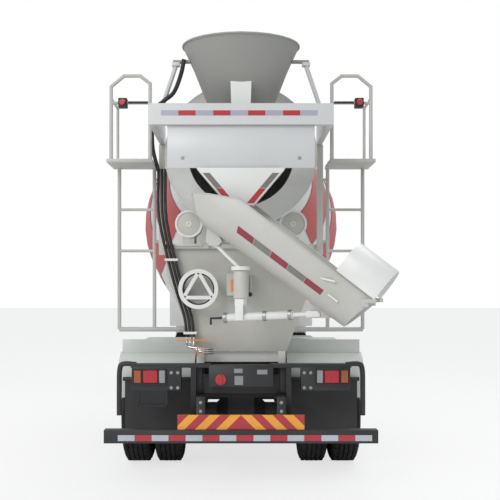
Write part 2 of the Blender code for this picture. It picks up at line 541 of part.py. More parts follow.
# The hollow runs on past the open end, along the line of the last two sections.
PAST_END = 1.1
before, last = inside_sections[-2:]
inside_sections[-1] = tuple(a + PAST_END * (b - a) for a, b in zip(before, last))
inside = loft([trough((bx, bz), (rx, rz), half, CHUTE_WALL) for bx, bz, rx, rz, half in inside_sections])
pin_cheeks = [prism([(-0.31, 2.25), (-0.27, 2.215), (-0.20, 2.215), (-0.16, 2.25), (-0.19, 2.306), (-0.30, 2.379)],
                    s * 0.024, s * 0.036, "y") for s in (-1, 1)]
eye_plate = prism([(0.62, 1.60), (0.70, 1.60), (0.80, 1.60), (0.66, 1.705), (0.60, 1.745)], -0.006, 0.006, "y")
LUG_IN, LUG_OUT = 0.2365, 0.250
BARREL = 0.014              # radius of the fold's hinge barrels
hinge_lugs = [block((1.07, 1.12), (s * 0.214, s * (LUG_OUT - 0.002)), (1.70, 1.755)) for s in (-1, 1)]
hinge_lugs += [block((1.08, CHUTE_HINGE.x + BARREL), (s * LUG_IN, s * LUG_OUT), (1.73, CHUTE_HINGE.z + BARREL)) for s in (-1, 1)]
piece("chute", "body_white", [moved(shell, chute_frame) for shell in [outside, *pin_cheeks, eye_plate, *hinge_lugs]],
      [moved(inside, chute_frame)], pivot=chute_frame @ CHUTE_PIN)

# Folded back on the trough at rest, open side down; its length runs up the slope from the hinge.
SLOPE_ANGLE = math.atan2(0.774, 1.0)
along = Vector((math.cos(SLOPE_ANGLE), 0, -math.sin(SLOPE_ANGLE)))
normal = Vector((math.sin(SLOPE_ANGLE), 0, math.cos(SLOPE_ANGLE)))


def extension_point(distance, height):
    spot = CHUTE_HINGE + distance * along + height * normal
    return (spot.x, spot.z)


def extension_section(distance, wall):
    return trough(extension_point(distance, EXTENSION_DEPTH), extension_point(distance, RUNNING), 0.222, wall)


extension_outside = loft([extension_section(-EXTENSION_LENGTH, 0.0), extension_section(-0.008, 0.0)])
extension_inside = loft([extension_section(-EXTENSION_LENGTH - 0.1, CHUTE_WALL), extension_section(0.1, CHUTE_WALL)])
fold_barrels = [rod(CHUTE_HINGE + Vector((0, s * 0.211, 0)), CHUTE_HINGE + Vector((0, s * (LUG_IN - CLEARANCE), 0)), BARREL, 12)
                for s in (-1, 1)]
piece("chute_extension", "body_white", [moved(shell, chute_frame) for shell in [extension_outside, *fold_barrels]],
      [moved(extension_inside, chute_frame)], pivot=chute_frame @ CHUTE_HINGE)

arm_foot = Vector((-0.02, 0, 2.03))
fork_cheeks = [block((-0.035, 0.035), (s * 0.046, s * 0.058), (1.575, 1.735)) for s in (-1, 1)]
post_shells = [rod((0, 0, 1.715), (0, 0, 2.035), POST_RADIUS, 20),
               rod((0, 0, HOUSING_Z[1] + 0.002), (0, 0, HOUSING_Z[1] + 0.035), 0.085, 20),
               rod(arm_foot, CHUTE_PIN - Vector((-0.03, 0, 0.03)), 0.016, 10),
               prism([(-0.285, 2.23), (-0.225, 2.20), (-0.19, 2.235), (-0.25, 2.285)], -0.018, 0.018, "y"),
               rod(CHUTE_PIN - Vector((0, 0.0237, 0)), CHUTE_PIN + Vector((0, 0.0237, 0)), 0.01, 12),
               block((-0.04, 0.04), (-0.058, 0.058), (1.705, 1.755)), *fork_cheeks]
piece("chute_post", "body_white", [moved(shell, chute_frame) for shell in post_shells],
      pivot=chute_frame @ JACK_FOOT)

jack_line = (JACK_EYE - JACK_FOOT).normalized()
BARREL_RADIUS, ROD_RADIUS = 0.034, 0.02
barrel_start, barrel_end = JACK_FOOT - 0.16 * jack_line, JACK_FOOT + 0.46 * jack_line
barrel = [rod(barrel_start, barrel_end, BARREL_RADIUS, 16),
          rod(JACK_FOOT - Vector((0, 0.0457, 0)), JACK_FOOT + Vector((0, 0.0457, 0)), 0.012, 12)]
barrel_bore = rod(JACK_FOOT + 0.12 * jack_line, barrel_end + 0.05 * jack_line, ROD_RADIUS + 0.001, 12)
piece("jack_barrel", "body_white", [moved(shell, chute_frame) for shell in barrel],
      [moved(barrel_bore, chute_frame)], pivot=chute_frame @ JACK_FOOT)
fork_back = JACK_EYE - 0.075 * jack_line
eye_cheeks = [prism([(JACK_EYE.x - 0.09, JACK_EYE.z - 0.03), (JACK_EYE.x + 0.02, JACK_EYE.z - 0.025),
                     (JACK_EYE.x + 0.022, JACK_EYE.z), (JACK_EYE.x, JACK_EYE.z + 0.022),
                     (JACK_EYE.x - 0.09, JACK_EYE.z + 0.022)], s * 0.012, s * 0.022, "y") for s in (-1, 1)]
jack_rod = [rod(JACK_FOOT + 0.25 * jack_line, fork_back, ROD_RADIUS, 12),
            block((JACK_EYE.x - 0.095, JACK_EYE.x - 0.075), (-0.022, 0.022), (JACK_EYE.z - 0.032, JACK_EYE.z + 0.022)),
            *eye_cheeks]
piece("jack_rod", "steel_grey", [moved(shell, chute_frame) for shell in jack_rod],
      pivot=chute_frame @ JACK_EYE)

# ---- platforms with ladders and handrails ----
LADDER_IN, LADDER_OUT = 0.84, 1.18
DECK_Z = 3.04
DECK_Y = (0.08, 0.52)
TUBE = 0.018
for side, sign in SIDES:
    rail_y = 0.46
    deck = block((sign * (LADDER_IN - 0.02), sign * 1.24), DECK_Y, (DECK_Z - 0.03, DECK_Z))
    stiles = [pipe([(sign * x, rail_y, 1.45), (sign * x, rail_y, DECK_Z - 0.01)], TUBE) for x in (LADDER_IN, LADDER_OUT)]
    rungs = [pipe([(sign * LADDER_IN, rail_y, z), (sign * LADDER_OUT, rail_y, z)], 0.014) for z in (2.21, 2.61)]
    foot = pipe([(sign * (PED_FOOT + 0.11), rail_y, 1.45), (sign * LADDER_OUT, rail_y, 1.45)], TUBE + 0.004)
    hoop = pipe([(sign * (LADDER_OUT + 0.02), 0.11, DECK_Z - 0.01), (sign * (LADDER_OUT + 0.02), 0.11, 3.71),
                 (sign * 1.08, 0.11, 3.81), (sign * 0.93, 0.11, 3.81), (sign * 0.84, 0.11, 3.74),
                 (sign * 0.84, 0.11, DECK_Z - 0.01)], TUBE)
    back_post = pipe([(sign * (LADDER_OUT + 0.02), 0.49, DECK_Z - 0.01), (sign * (LADDER_OUT + 0.02), 0.49, 3.60),
                      (sign * (LADDER_OUT + 0.02), 0.11, 3.60)], 0.014)
    bar = pipe([(sign * (LADDER_OUT + 0.02), 0.11, 3.56), (sign * 0.84, 0.11, 3.56)], 0.014)
    deck_stay = pipe([(sign * (UPRIGHT_X[1] + CLEARANCE), rail_y, 2.90), (sign * LADDER_IN, rail_y, 2.90)], 0.014)
    low_stay = pipe([(sign * (UPRIGHT_X[1] + CLEARANCE), rail_y, 2.30), (sign * LADDER_IN, rail_y, 2.30)], 0.014)
    piece("access_ladder_" + side, "body_white",
          [deck, *stiles, *rungs, foot, hoop, back_post, bar, deck_stay, low_stay])

# ---- rear fenders, mudflaps, lamps and bumper ----
FENDER_OUT, FENDER_IN = 1.22, 0.46
FENDER_TOP = 1.20
FENDER_SHEET = 0.012
fender_y = (REAR_AXLE_Y - TYRE_RADIUS - 0.10, FORE_REAR_AXLE_Y + TYRE_RADIUS + 0.10)
fender_outline = [(fender_y[0], 0.76), (fender_y[0], 1.10), (fender_y[0] + 0.14, FENDER_TOP), (fender_y[1] - 0.14, FENDER_TOP),
                  (fender_y[1], 1.10), (fender_y[1], 0.80)]
for side, sign in SIDES:
    inner_line = [(y + (FENDER_SHEET if i < 3 else -FENDER_SHEET), z - (FENDER_SHEET if i in (2, 3) else 0.0))
                  for i, (y, z) in enumerate(fender_outline)]
    sheet = prism(fender_outline + inner_line[::-1], sign * FENDER_IN, sign * FENDER_OUT, "x")
    bridge = prism([(sign * 0.35, SUBFRAME_TOP + CLEARANCE), (sign * 0.35, 1.35), (sign * 0.55, 1.35), (sign * 0.70, 1.33),
                    (sign * 1.20, 1.33), (sign * 1.20, FENDER_TOP - 0.005), (sign * 0.46, FENDER_TOP - 0.005), (sign * 0.44, SUBFRAME_TOP + CLEARANCE)],
                   fender_y[0] + 0.13, fender_y[0] + 0.15, "y")
    hanger = [block((sign * (RAIL_OUT + CLEARANCE), sign * (FENDER_IN + 0.03)), (y, y + 0.06), (RAIL_TOP - 0.02, FENDER_TOP - 0.005))
              for y in (fender_y[0] + 0.5, fender_y[1] - 0.5)]
    piece("rear_fender_" + side, "body_white", [sheet, bridge, *hanger])

flap_y = fender_y[0] - 0.03
piece("rear_mudflaps", "hose_rubber",
      [block((-0.46, 0.46), (flap_y - 0.03, flap_y - 0.002), (RAIL_BOTTOM - 0.05, RAIL_BOTTOM - CLEARANCE)),
       *[block((s * 0.44, s * 1.15), (flap_y - 0.01, flap_y), (0.42, 0.96)) for s in (-1, 1)],
       *[rod((s * 0.45, flap_y - 0.01, 0.95), (s * 1.17, flap_y - 0.01, 0.95), 0.02, 10) for s in (-1, 1)]])

LAMP_Y = (0.17, 0.27)
piece("tail_lamp_carrier", "chassis_black",
      [block((-0.30, 0.30), LAMP_Y, (0.93, 1.13))]
      + [block((s * 0.56, s * 1.02), (LAMP_Y[0], LAMP_Y[1]), (0.894, 1.112)) for s in (-1, 1)]
      + [block((s * 0.28, s * 1.03), (LAMP_Y[0] + 0.005, LAMP_Y[1] + 0.01), (1.105, 1.14)) for s in (-1, 1)]
      + [block((s * 0.42, s * 0.47), (LAMP_Y[0] + 0.01, LAMP_Y[1] + 0.01), (0.66, 1.12)) for s in (-1, 1)]
      + [block((s * 0.37, s * 0.47), (LAMP_Y[1] - 0.01, FRAME_REAR - CLEARANCE), (0.86, 1.10)) for s in (-1, 1)]
      + [block((-0.97, -0.68), (LAMP_Y[0] + 0.01, LAMP_Y[0] + 0.03), (0.74, 0.90))])

BUMPER_Z = (0.435, 0.555)
piece("rear_bumper", "chassis_black",
      [block((-BUMPER_HALF, BUMPER_HALF), (0.0, 0.10), BUMPER_Z)]
      + [block((s * 0.33, s * 0.41), (0.05, 0.13), (BUMPER_Z[1] - 0.02, 0.84)) for s in (-1, 1)]
      + [block((s * 0.33, s * 0.41), (0.05, FRAME_REAR - CLEARANCE), (0.82, 0.852)) for s in (-1, 1)])
piece("chevron_board", "board_yellow",
      [block((-0.58, 0.58), (0.03, 0.05 - CLEARANCE), (BUMPER_Z[1] + CLEARANCE, 0.69))])

# ---- cab ----
WINDOW_LOW, WINDOW_HIGH = 1.98, 2.62
SCREEN_LEAN = 0.16
ARCH_Y = 7.12
cab_outline = [(CAB_REAR, CAB_BOTTOM_REAR), (ARCH_Y, CAB_BOTTOM_REAR), (ARCH_Y + 0.08, CAB_BOTTOM_FRONT), (CAB_FRONT, CAB_BOTTOM_FRONT),
               (CAB_FRONT, WINDOW_LOW - 0.08), (CAB_FRONT - SCREEN_LEAN, CAB_ROOF - 0.12), (CAB_FRONT - SCREEN_LEAN - 0.2, CAB_ROOF),
               (CAB_REAR + 0.06, CAB_ROOF), (CAB_REAR, CAB_ROOF - 0.06)]
cab_room = [(CAB_REAR + CAB_WALL, CAB_FLOOR), (CAB_FRONT - CAB_WALL, CAB_FLOOR), (CAB_FRONT - CAB_WALL, WINDOW_LOW - 0.08),
            (CAB_FRONT - CAB_WALL - SCREEN_LEAN, CAB_ROOF - 0.16), (CAB_FRONT - SCREEN_LEAN - 0.24, CAB_ROOF - CAB_WALL),
            (CAB_REAR + CAB_WALL + 0.02, CAB_ROOF - CAB_WALL), (CAB_REAR + CAB_WALL, CAB_ROOF - 0.10)]
DOOR_Y = (6.60, 7.62)
DOOR_Z = (1.24, 2.80)
DOOR_THICK = CAB_WALL
TUNNEL_HALF = RAIL_OUT + 0.04
screen_half = CAB_HALF - 0.10
door_outline = [(DOOR_Y[0], DOOR_Z[0]), (ARCH_Y - 0.10, DOOR_Z[0]), (DOOR_Y[1], DOOR_Z[0]), (DOOR_Y[1], WINDOW_LOW),
                (DOOR_Y[1] - 0.13, DOOR_Z[1]), (DOOR_Y[0], DOOR_Z[1])]
door_cut = [(y + (RUNNING if y > 7.0 else -RUNNING), z + (RUNNING if z > 2.5 else -RUNNING)) for y, z in door_outline]
glass_outline = [(DOOR_Y[0] + 0.10, WINDOW_LOW), (DOOR_Y[1] - 0.12, WINDOW_LOW), (DOOR_Y[1] - 0.22, WINDOW_HIGH + 0.06), (DOOR_Y[0] + 0.10, WINDOW_HIGH + 0.06)]
glass_hole = [(y + (CLEARANCE if y > 7.0 else -CLEARANCE), z + (CLEARANCE if z > 2.5 else -CLEARANCE)) for y, z in glass_outline]
PIVOT_Y, PIVOT_Z = 7.85, 0.95
screen_low, screen_high = WINDOW_LOW - 0.04, CAB_ROOF - 0.20


def front_face_y(z):
    """The y of the cab's leaning front at a height above the foot of the screen."""
    share = (z - (WINDOW_LOW - 0.08)) / (CAB_ROOF - 0.12 - (WINDOW_LOW - 0.08))
    return CAB_FRONT - SCREEN_LEAN * share


def screen_shell(half, low, high, front, back):
    """A leaning panel between two offsets behind the cab's front face."""
    outline = [(front_face_y(low) - front, low), (front_face_y(high) - front, high),
               (front_face_y(high) - back, high), (front_face_y(low) - back, low)]
    return prism(outline, -half, half, "x")


cab_cuts = [prism(cab_room, -CAB_HALF + CAB_WALL, CAB_HALF - CAB_WALL, "x"),
            screen_shell(screen_half, screen_low, screen_high, -0.1, CAB_WALL + 0.06),
            *[prism(door_cut, s * (CAB_HALF - CAB_WALL - 0.01), s * (CAB_HALF + 0.0005), "x") for s in (-1, 1)],
            block((-TUNNEL_HALF, TUNNEL_HALF), (CAB_REAR - 0.05, FRAME_FRONT + 0.04), (0.90, CAB_FLOOR - 0.06)),
            *[block((s * 0.60, s * (CAB_HALF + 0.05)), (6.0, ARCH_Y + 0.2), (0.9, CAB_BOTTOM_REAR)) for s in (-1, 1)]]
door_hinge_x = CAB_HALF + 0.017
DOOR_HINGE_Y = DOOR_Y[1] + RUNNING / 2
HINGE_HEIGHTS = (1.42, 1.88)
HINGE_BARREL, HINGE_LENGTH = 0.014, 0.05
cab_hinges = []
for sign in (-1, 1):
    for z in HINGE_HEIGHTS:
        cab_hinges += [rod((sign * door_hinge_x, DOOR_HINGE_Y, z - HINGE_LENGTH), (sign * door_hinge_x, DOOR_HINGE_Y, z), HINGE_BARREL, 12),
                       block((sign * (CAB_HALF - 0.01), sign * (door_hinge_x + 0.008)), (DOOR_HINGE_Y + 0.004, DOOR_HINGE_Y + 0.05), (z - HINGE_LENGTH, z))]
piece("cab_shell", "body_white", [prism(cab_outline, -CAB_HALF, CAB_HALF, "x"), *cab_hinges], cab_cuts, pivot=(0, PIVOT_Y, PIVOT_Z))
piece("windscreen", "clear_glass",
      [screen_shell(screen_half - CLEARANCE, screen_low + CLEARANCE, screen_high - CLEARANCE, 0.015, 0.025)], pivot=(0, PIVOT_Y, PIVOT_Z))

for side, sign in SIDES:
    hinge = Vector((sign * door_hinge_x, DOOR_HINGE_Y, WINDOW_LOW))
    leaves = []
    for z in HINGE_HEIGHTS:
        low, high = z + CLEARANCE, z + HINGE_LENGTH
        leaves += [rod((hinge.x, hinge.y, low), (hinge.x, hinge.y, high), HINGE_BARREL, 12),
                   block((sign * (CAB_HALF - 0.01), sign * (door_hinge_x + 0.008)), (hinge.y - 0.05, hinge.y - 0.004), (low, high))]
    piece("door_" + side, "body_white", [prism(door_outline, sign * (CAB_HALF - DOOR_THICK), sign * CAB_HALF, "x"), *leaves],
          [prism(glass_hole, sign * (CAB_HALF - DOOR_THICK - 0.05), sign * (CAB_HALF + 0.05), "x")], pivot=hinge)
    piece("door_glass_" + side, "clear_glass",
          [prism(glass_outline, sign * (CAB_HALF - 0.035), sign * (CAB_HALF - 0.030), "x")], pivot=hinge)

SEAT_FLOOR = CAB_FLOOR + CLEARANCE
for name, x in (("driver_seat", -0.68), ("passenger_seat", 0.68)):
    piece(name, "cab_plastic",
          [block((x - 0.25, x + 0.25), (6.42, 6.94), (SEAT_FLOOR + 0.28, SEAT_FLOOR + 0.44)),
           block((x - 0.24, x + 0.24), (6.30, 6.46), (SEAT_FLOOR + 0.34, SEAT_FLOOR + 1.12)),
           block((x - 0.18, x + 0.18), (6.46, 6.88), (SEAT_FLOOR, SEAT_FLOOR + 0.30))])
STEER_CENTRE = Vector((-0.68, 7.28, 1.99))
STEER_AXIS = Vector((0, 0.6, -0.8))
COLUMN_END = 0.30
DASH_Y = (7.50, CAB_FRONT - CAB_WALL - CLEARANCE)
piece("dashboard", "cab_plastic",
      [prism([(DASH_Y[0], 1.60), (DASH_Y[1], 1.50), (DASH_Y[1], 1.89), (DASH_Y[0] + 0.05, 1.89), (DASH_Y[0], 1.82)],
             -CAB_HALF + CAB_WALL + 0.002, CAB_HALF - CAB_WALL - 0.002, "x"),
       block((-0.20, 0.20), (7.60, DASH_Y[1]), (CAB_FLOOR + CLEARANCE, 1.62)),
       rod(STEER_CENTRE + (COLUMN_END + CLEARANCE) * STEER_AXIS, STEER_CENTRE + 0.46 * STEER_AXIS, 0.04, 12)])

rim_ring = turned_hollow([(-0.015, 0.215), (0.0, 0.235), (0.015, 0.215), (0.0, 0.195)], STEER_CENTRE, STEER_AXIS, 16)
spoke = [rod(STEER_CENTRE - 0.21 * X_AXIS, STEER_CENTRE + 0.21 * X_AXIS, 0.012, 8)]
piece("steering_wheel", "cab_plastic",
      [rim_ring, *spoke, turned([(-0.03, 0.05), (0.05, 0.05), (0.06, 0.02), (COLUMN_END, 0.02)], STEER_CENTRE, STEER_AXIS, 12)],
      pivot=STEER_CENTRE)

for side, sign in SIDES:
    root_y = CAB_FRONT - 0.14
    head = block((sign * 1.30, sign * 1.50), (root_y - 0.04, root_y + 0.04), (1.95, 2.40))
    arms = [pipe([(sign * (CAB_HALF + CLEARANCE), root_y, z), (sign * 1.40, root_y, z)], 0.012) for z in (2.05, 2.32)]
    piece("mirror_" + side, "cab_plastic", [head, *arms])

FRONT_BUMPER_TOP = 0.90
FRONT_FACE = 8.00
piece("front_bumper", "body_white",
      [prism([(-BUMPER_HALF + 0.02, 7.45), (BUMPER_HALF - 0.02, 7.45), (BUMPER_HALF - 0.02, 7.90), (BUMPER_HALF - 0.12, FRONT_FACE),
              (-BUMPER_HALF + 0.12, FRONT_FACE), (-BUMPER_HALF + 0.02, 7.90)], 0.42, FRONT_BUMPER_TOP, "z")],
      [block((-BUMPER_HALF + 0.10, BUMPER_HALF - 0.10), (7.3, FRAME_FRONT + CLEARANCE), (0.3, 1.0)),
       ])

# ---- hoses and their holder ----
RING_CENTRE = Vector((-0.40, 0.22, 1.84))
ring_shell = turned_hollow([(-0.01, 0.19), (0.01, 0.19), (0.01, 0.155), (-0.01, 0.155)], RING_CENTRE, Y_AXIS, 20)
corner = [RING_CENTRE + 0.17 * Vector((math.sin(a), 0, math.cos(a))) for a in (0, 2 * math.pi / 3, 4 * math.pi / 3)]
bars = [rod(corner[i], corner[(i + 1) % 3], 0.009, 8) for i in range(3)]
standoffs = [rod(spot, (spot.x, PLATE_Y[0] - CLEARANCE, spot.z), 0.008, 8) for spot in corner[:2]]
piece("hose_holder", "body_white", [ring_shell, *bars, *standoffs])

HOSE_RADIUS = 0.014


def smooth_route(route, count):
    """Points read at even steps from a smooth curve through the route's own points."""
    route = [Vector(point) for point in route]
    padded = [2 * route[0] - route[1], *route, 2 * route[-1] - route[-2]]
    result = []
    spans = len(route) - 1
    for i in range(count):
        place = spans * i / (count - 1)
        k = min(int(place), spans - 1)
        t = place - k
        a, b, c, d = padded[k:k + 4]
        result.append(0.5 * (2 * b + (c - a) * t + (2 * a - 5 * b + 4 * c - d) * t * t
                             + (3 * b - a - 3 * c + d) * t * t * t))
    return result


HOSE_Y = 0.36
HOSE_PITCH = 0.034
HOSE_POINTS = 18
# x and z of the innermost line of the bundle, top to bottom
HOSE_ROUTE = [(-0.79, 2.99), (-0.785, 2.53), (-0.69, 2.09), (-0.62, 1.83), (-0.54, 1.57), (-0.52, 1.38)]
hoses = []
for i in range(3):
    route = [(x + i * HOSE_PITCH, HOSE_Y, z) for x, z in HOSE_ROUTE]
    hoses.append(pipe(smooth_route(route, HOSE_POINTS), HOSE_RADIUS, 6))
clamps = [block((x - 0.03, x + 2 * HOSE_PITCH + 0.03), (HOSE_Y - 0.02, PLATE_Y[0] - CLEARANCE), (z - 0.012, z + 0.012))
          for x, z in ((-0.70, 2.12), (-0.52, 1.42))]
piece("hydraulic_hoses", "hose_rubber", [clamps[0], *hoses, clamps[1]])

# ---- the whole truck, centred on the origin ----
bpy.context.view_layer.update()
graph = bpy.context.evaluated_depsgraph_get()
reach = []
for item in bpy.data.objects:
    if item.type == "MESH" and not item.hide_render:
        solid = item.evaluated_get(graph)
        reach += [(solid.matrix_world @ vertex.co).y for vertex in solid.data.vertices]
carrier.location.y = -(min(reach) + max(reach)) / 2
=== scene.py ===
import math
import bmesh
import bpy
from mathutils import Matrix, Vector


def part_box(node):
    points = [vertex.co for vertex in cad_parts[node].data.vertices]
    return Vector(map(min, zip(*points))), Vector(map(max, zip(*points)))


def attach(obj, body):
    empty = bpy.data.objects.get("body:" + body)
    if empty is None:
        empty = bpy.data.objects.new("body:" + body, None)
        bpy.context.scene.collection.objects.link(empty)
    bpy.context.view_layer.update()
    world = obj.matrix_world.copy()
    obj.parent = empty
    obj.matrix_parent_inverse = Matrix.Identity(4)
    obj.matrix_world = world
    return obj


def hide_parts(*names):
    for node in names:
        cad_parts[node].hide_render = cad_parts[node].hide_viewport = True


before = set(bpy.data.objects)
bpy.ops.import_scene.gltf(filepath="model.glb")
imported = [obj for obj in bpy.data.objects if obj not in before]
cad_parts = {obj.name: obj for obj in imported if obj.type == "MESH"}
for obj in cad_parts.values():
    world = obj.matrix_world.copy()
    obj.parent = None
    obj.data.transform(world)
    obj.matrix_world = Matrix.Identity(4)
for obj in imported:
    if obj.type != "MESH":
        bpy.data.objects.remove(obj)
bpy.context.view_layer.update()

# ---- Viewpoint: the truck is seen square from behind, at the height of its discharge chute.
# BACK is the rear face of the bumper bar, from which every length along the truck is counted.
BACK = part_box("rear_bumper")[0][1]
VIEW_DISTANCE = 6.9
VIEW_HEIGHT = 1.85
camera = bpy.data.objects.new("rear_view", bpy.data.cameras.new("rear_view"))
bpy.context.collection.objects.link(camera)
camera.location = (0, BACK - VIEW_DISTANCE, VIEW_HEIGHT)
camera.rotation_euler = (math.radians(90), 0, 0)
LENS = 54.6                 # millimetres
SIDE_SHIFT, RISE_SHIFT = 0.018, 0.076
camera.data.lens = LENS
camera.data.shift_x = SIDE_SHIFT
camera.data.shift_y = RISE_SHIFT
bpy.context.scene.camera = camera
bpy.context.scene.view_settings.view_transform = "Standard"


# ---- Yard floor and daylight: a pale floor that keeps the shadow, an even sky and two soft lamps.
# Each finish is one material; a Wire lets its sockets be added and multiplied in plain sums.
class Wire:
    """A shader socket that takes part in sums."""

    def __init__(self, finish, socket):
        self.finish = finish
        self.socket = socket

    def sum(self, operation, *values):
        return self.finish.node("ShaderNodeMath", values, operation=operation)

    def __add__(self, other):
        return self.sum("ADD", self, other)

    def __sub__(self, other):
        return self.sum("SUBTRACT", self, other)

    def __rsub__(self, other):
        return self.sum("SUBTRACT", other, self)

    def __mul__(self, other):
        return self.sum("MULTIPLY", self, other)

    __radd__ = __add__
    __rmul__ = __mul__


class Finish:
    """One material, made of nodes that are added one at a time."""

    def __init__(self, name, **fixed):
        self.material = bpy.data.materials.new(name)
        self.material.use_nodes = True
        self.tree = self.material.node_tree
        self.shader = self.tree.nodes["Principled BSDF"]
        for key, value in fixed.items():
            self.shader.inputs[key.replace("_", " ")].default_value = value

    def node(self, kind, values=(), out=0, **settings):
        made = self.tree.nodes.new(kind)
        for key, value in settings.items():
            setattr(made, key, value)
        pairs = values.items() if isinstance(values, dict) else enumerate(values)
        for key, value in pairs:
            self.join(value, made.inputs[key])
        return Wire(self, made.outputs[out])

    def join(self, value, socket):
        if isinstance(value, Wire):
            self.tree.links.new(value.socket, socket)
        else:
            socket.default_value = value

    def noise(self, place, scale, detail=4.0):
        return self.node("ShaderNodeTexNoise", {"Vector": place, "Scale": scale, "Detail": detail})

    def between(self, value, low, high, first=0.0, last=1.0):
        return self.node("ShaderNodeMapRange", (value, low, high, first, last))

    def blend(self, share, first, second):
        colours = {0: share, 6: (*first, 1) if isinstance(first, tuple) else first, 7: (*second, 1)}
        return self.node("ShaderNodeMix", colours, out=2, data_type="RGBA")

    def surface(self, colour, roughness, height=None, depth=0.001, strength=0.4):
        self.join(colour, self.shader.inputs["Base Color"])
        self.join(roughness, self.shader.inputs["Roughness"])
        if height is not None:
            relief = {"Height": height, "Distance": depth, "Strength": strength}
            self.join(self.node("ShaderNodeBump", relief), self.shader.inputs["Normal"])
        return self.material


def painted(name, colour, dusty, roughness, metallic=0.0, dust=0.5, grain=120.0, relief=0.0006):
    """Sprayed paint: faint clouds of dust, more of it low down, and a fine orange-peel skin."""
    finish = Finish(name, Metallic=metallic)
    place = finish.node("ShaderNodeTexCoord", out=3)
    height = finish.node("ShaderNodeSeparateXYZ", (place,), out=2)
    cloud = finish.between(finish.noise(place, 2.3, 6.0), 0.45, 0.72)
    fleck = finish.between(finish.noise(place, 38.0, 5.0), 0.58, 0.74)
    peel = finish.noise(place, grain, 2.0)
    low = finish.between(height, 0.5, 1.5, 1.0, 0.0)
    grime = (cloud * 0.45 + fleck * 0.25 + low * 0.35) * dust
    colour_over = finish.blend(grime, colour, dusty)
    return finish.surface(colour_over, grime * 0.3 + peel * 0.08 + roughness, peel, relief, 0.35)


floor_mesh = bpy.data.meshes.new("yard_floor")
FLOOR_HALF = 60.0
floor_mesh.from_pydata([(x, y, 0) for x, y in ((-FLOOR_HALF, -FLOOR_HALF), (FLOOR_HALF, -FLOOR_HALF),
                                               (FLOOR_HALF, FLOOR_HALF), (-FLOOR_HALF, FLOOR_HALF))],
                       [], [(0, 1, 2, 3)])
floor = bpy.data.objects.new("yard_floor", floor_mesh)
bpy.context.collection.objects.link(floor)
pale = Finish("pale_floor", Roughness=0.9)
pale.surface((0.90, 0.90, 0.90, 1), 0.9)
light_path = pale.tree.nodes.new("ShaderNodeLightPath")
seen = Wire(pale, light_path.outputs["Is Camera Ray"]) * 0.72
glow = pale.node("ShaderNodeEmission", ((1, 1, 1, 1), 1.0))
mixed = pale.node("ShaderNodeMixShader", (seen, Wire(pale, pale.shader.outputs[0]), glow))
pale.join(mixed, pale.tree.nodes["Material Output"].inputs["Surface"])
floor_mesh.materials.append(pale.material)

world = bpy.data.worlds.new("even_sky")
bpy.context.scene.world = world
world.use_nodes = True
sky = world.node_tree
SKY_LIGHT = 0.66
sky_light = sky.nodes["Background"]
sky_light.inputs["Color"].default_value = (0.95, 0.98, 1.0, 1)
sky_light.inputs["Strength"].default_value = SKY_LIGHT
sky_seen = sky.nodes.new("ShaderNodeBackground")
sky_seen.inputs["Color"].default_value = (1, 1, 1, 1)
path = sky.nodes.new("ShaderNodeLightPath")
either = sky.nodes.new("ShaderNodeMath")
either.operation = "MAXIMUM"
sky.links.new(path.outputs["Is Camera Ray"], either.inputs[0])
sky.links.new(path.outputs["Is Transmission Ray"], either.inputs[1])
sky_mix = sky.nodes.new("ShaderNodeMixShader")
sky.links.new(either.outputs[0], sky_mix.inputs[0])
sky.links.new(sky_light.outputs[0], sky_mix.inputs[1])
sky.links.new(sky_seen.outputs[0], sky_mix.inputs[2])
sky.links.new(sky_mix.outputs[0], sky.nodes["World Output"].inputs["Surface"])

for lamp_name, place, power, width in (
    # name, place, watts, width
    ("soft_key", (-5.0, BACK - 8.0, 7.0), 400, 5.0),
    ("soft_top", (2.0, 0.0, 9.0), 300, 7.0),
):
    data = bpy.data.lights.new(lamp_name, "AREA")
    data.energy = power
    data.size = width
    lamp = bpy.data.objects.new(lamp_name, data)
    bpy.context.collection.objects.link(lamp)
    lamp.location = place
    lamp.rotation_euler = (Vector((0, BACK + 1.5, 1.8)) - Vector(place)).to_track_quat("-Z", "Y").to_euler()


# ---- Painted steelwork: frame, pedestal, hopper, fenders and cab are welded, bent or pressed plate.
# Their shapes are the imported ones; the edges get the small radius of a pressing and smooth sprayed paint.
def soft_edges():
    """A tree that shades a shell smooth, but for its sharp edges."""
    tree = bpy.data.node_groups.new("soft_edges", "GeometryNodeTree")
    tree.interface.new_socket("Geometry", in_out="INPUT", socket_type="NodeSocketGeometry")
    tree.interface.new_socket("Geometry", in_out="OUTPUT", socket_type="NodeSocketGeometry")
    way_in = tree.nodes.new("NodeGroupInput")
    way_out = tree.nodes.new("NodeGroupOutput")
    faces = tree.nodes.new("GeometryNodeSetShadeSmooth")
    faces.domain = "FACE"
    edges = tree.nodes.new("GeometryNodeSetShadeSmooth")
    edges.domain = "EDGE"
    edges.inputs["Shade Smooth"].default_value = False
    angle = tree.nodes.new("GeometryNodeInputMeshEdgeAngle")
    sharp = tree.nodes.new("ShaderNodeMath")
    sharp.operation = "GREATER_THAN"
    sharp.inputs[1].default_value = math.radians(33)
    tree.links.new(angle.outputs[0], sharp.inputs[0])
    tree.links.new(sharp.outputs[0], edges.inputs["Selection"])
    tree.links.new(way_in.outputs[0], faces.inputs["Geometry"])
    tree.links.new(faces.outputs[0], edges.inputs["Geometry"])
    tree.links.new(edges.outputs[0], way_out.inputs[0])
    return tree


SOFT_EDGES = soft_edges()


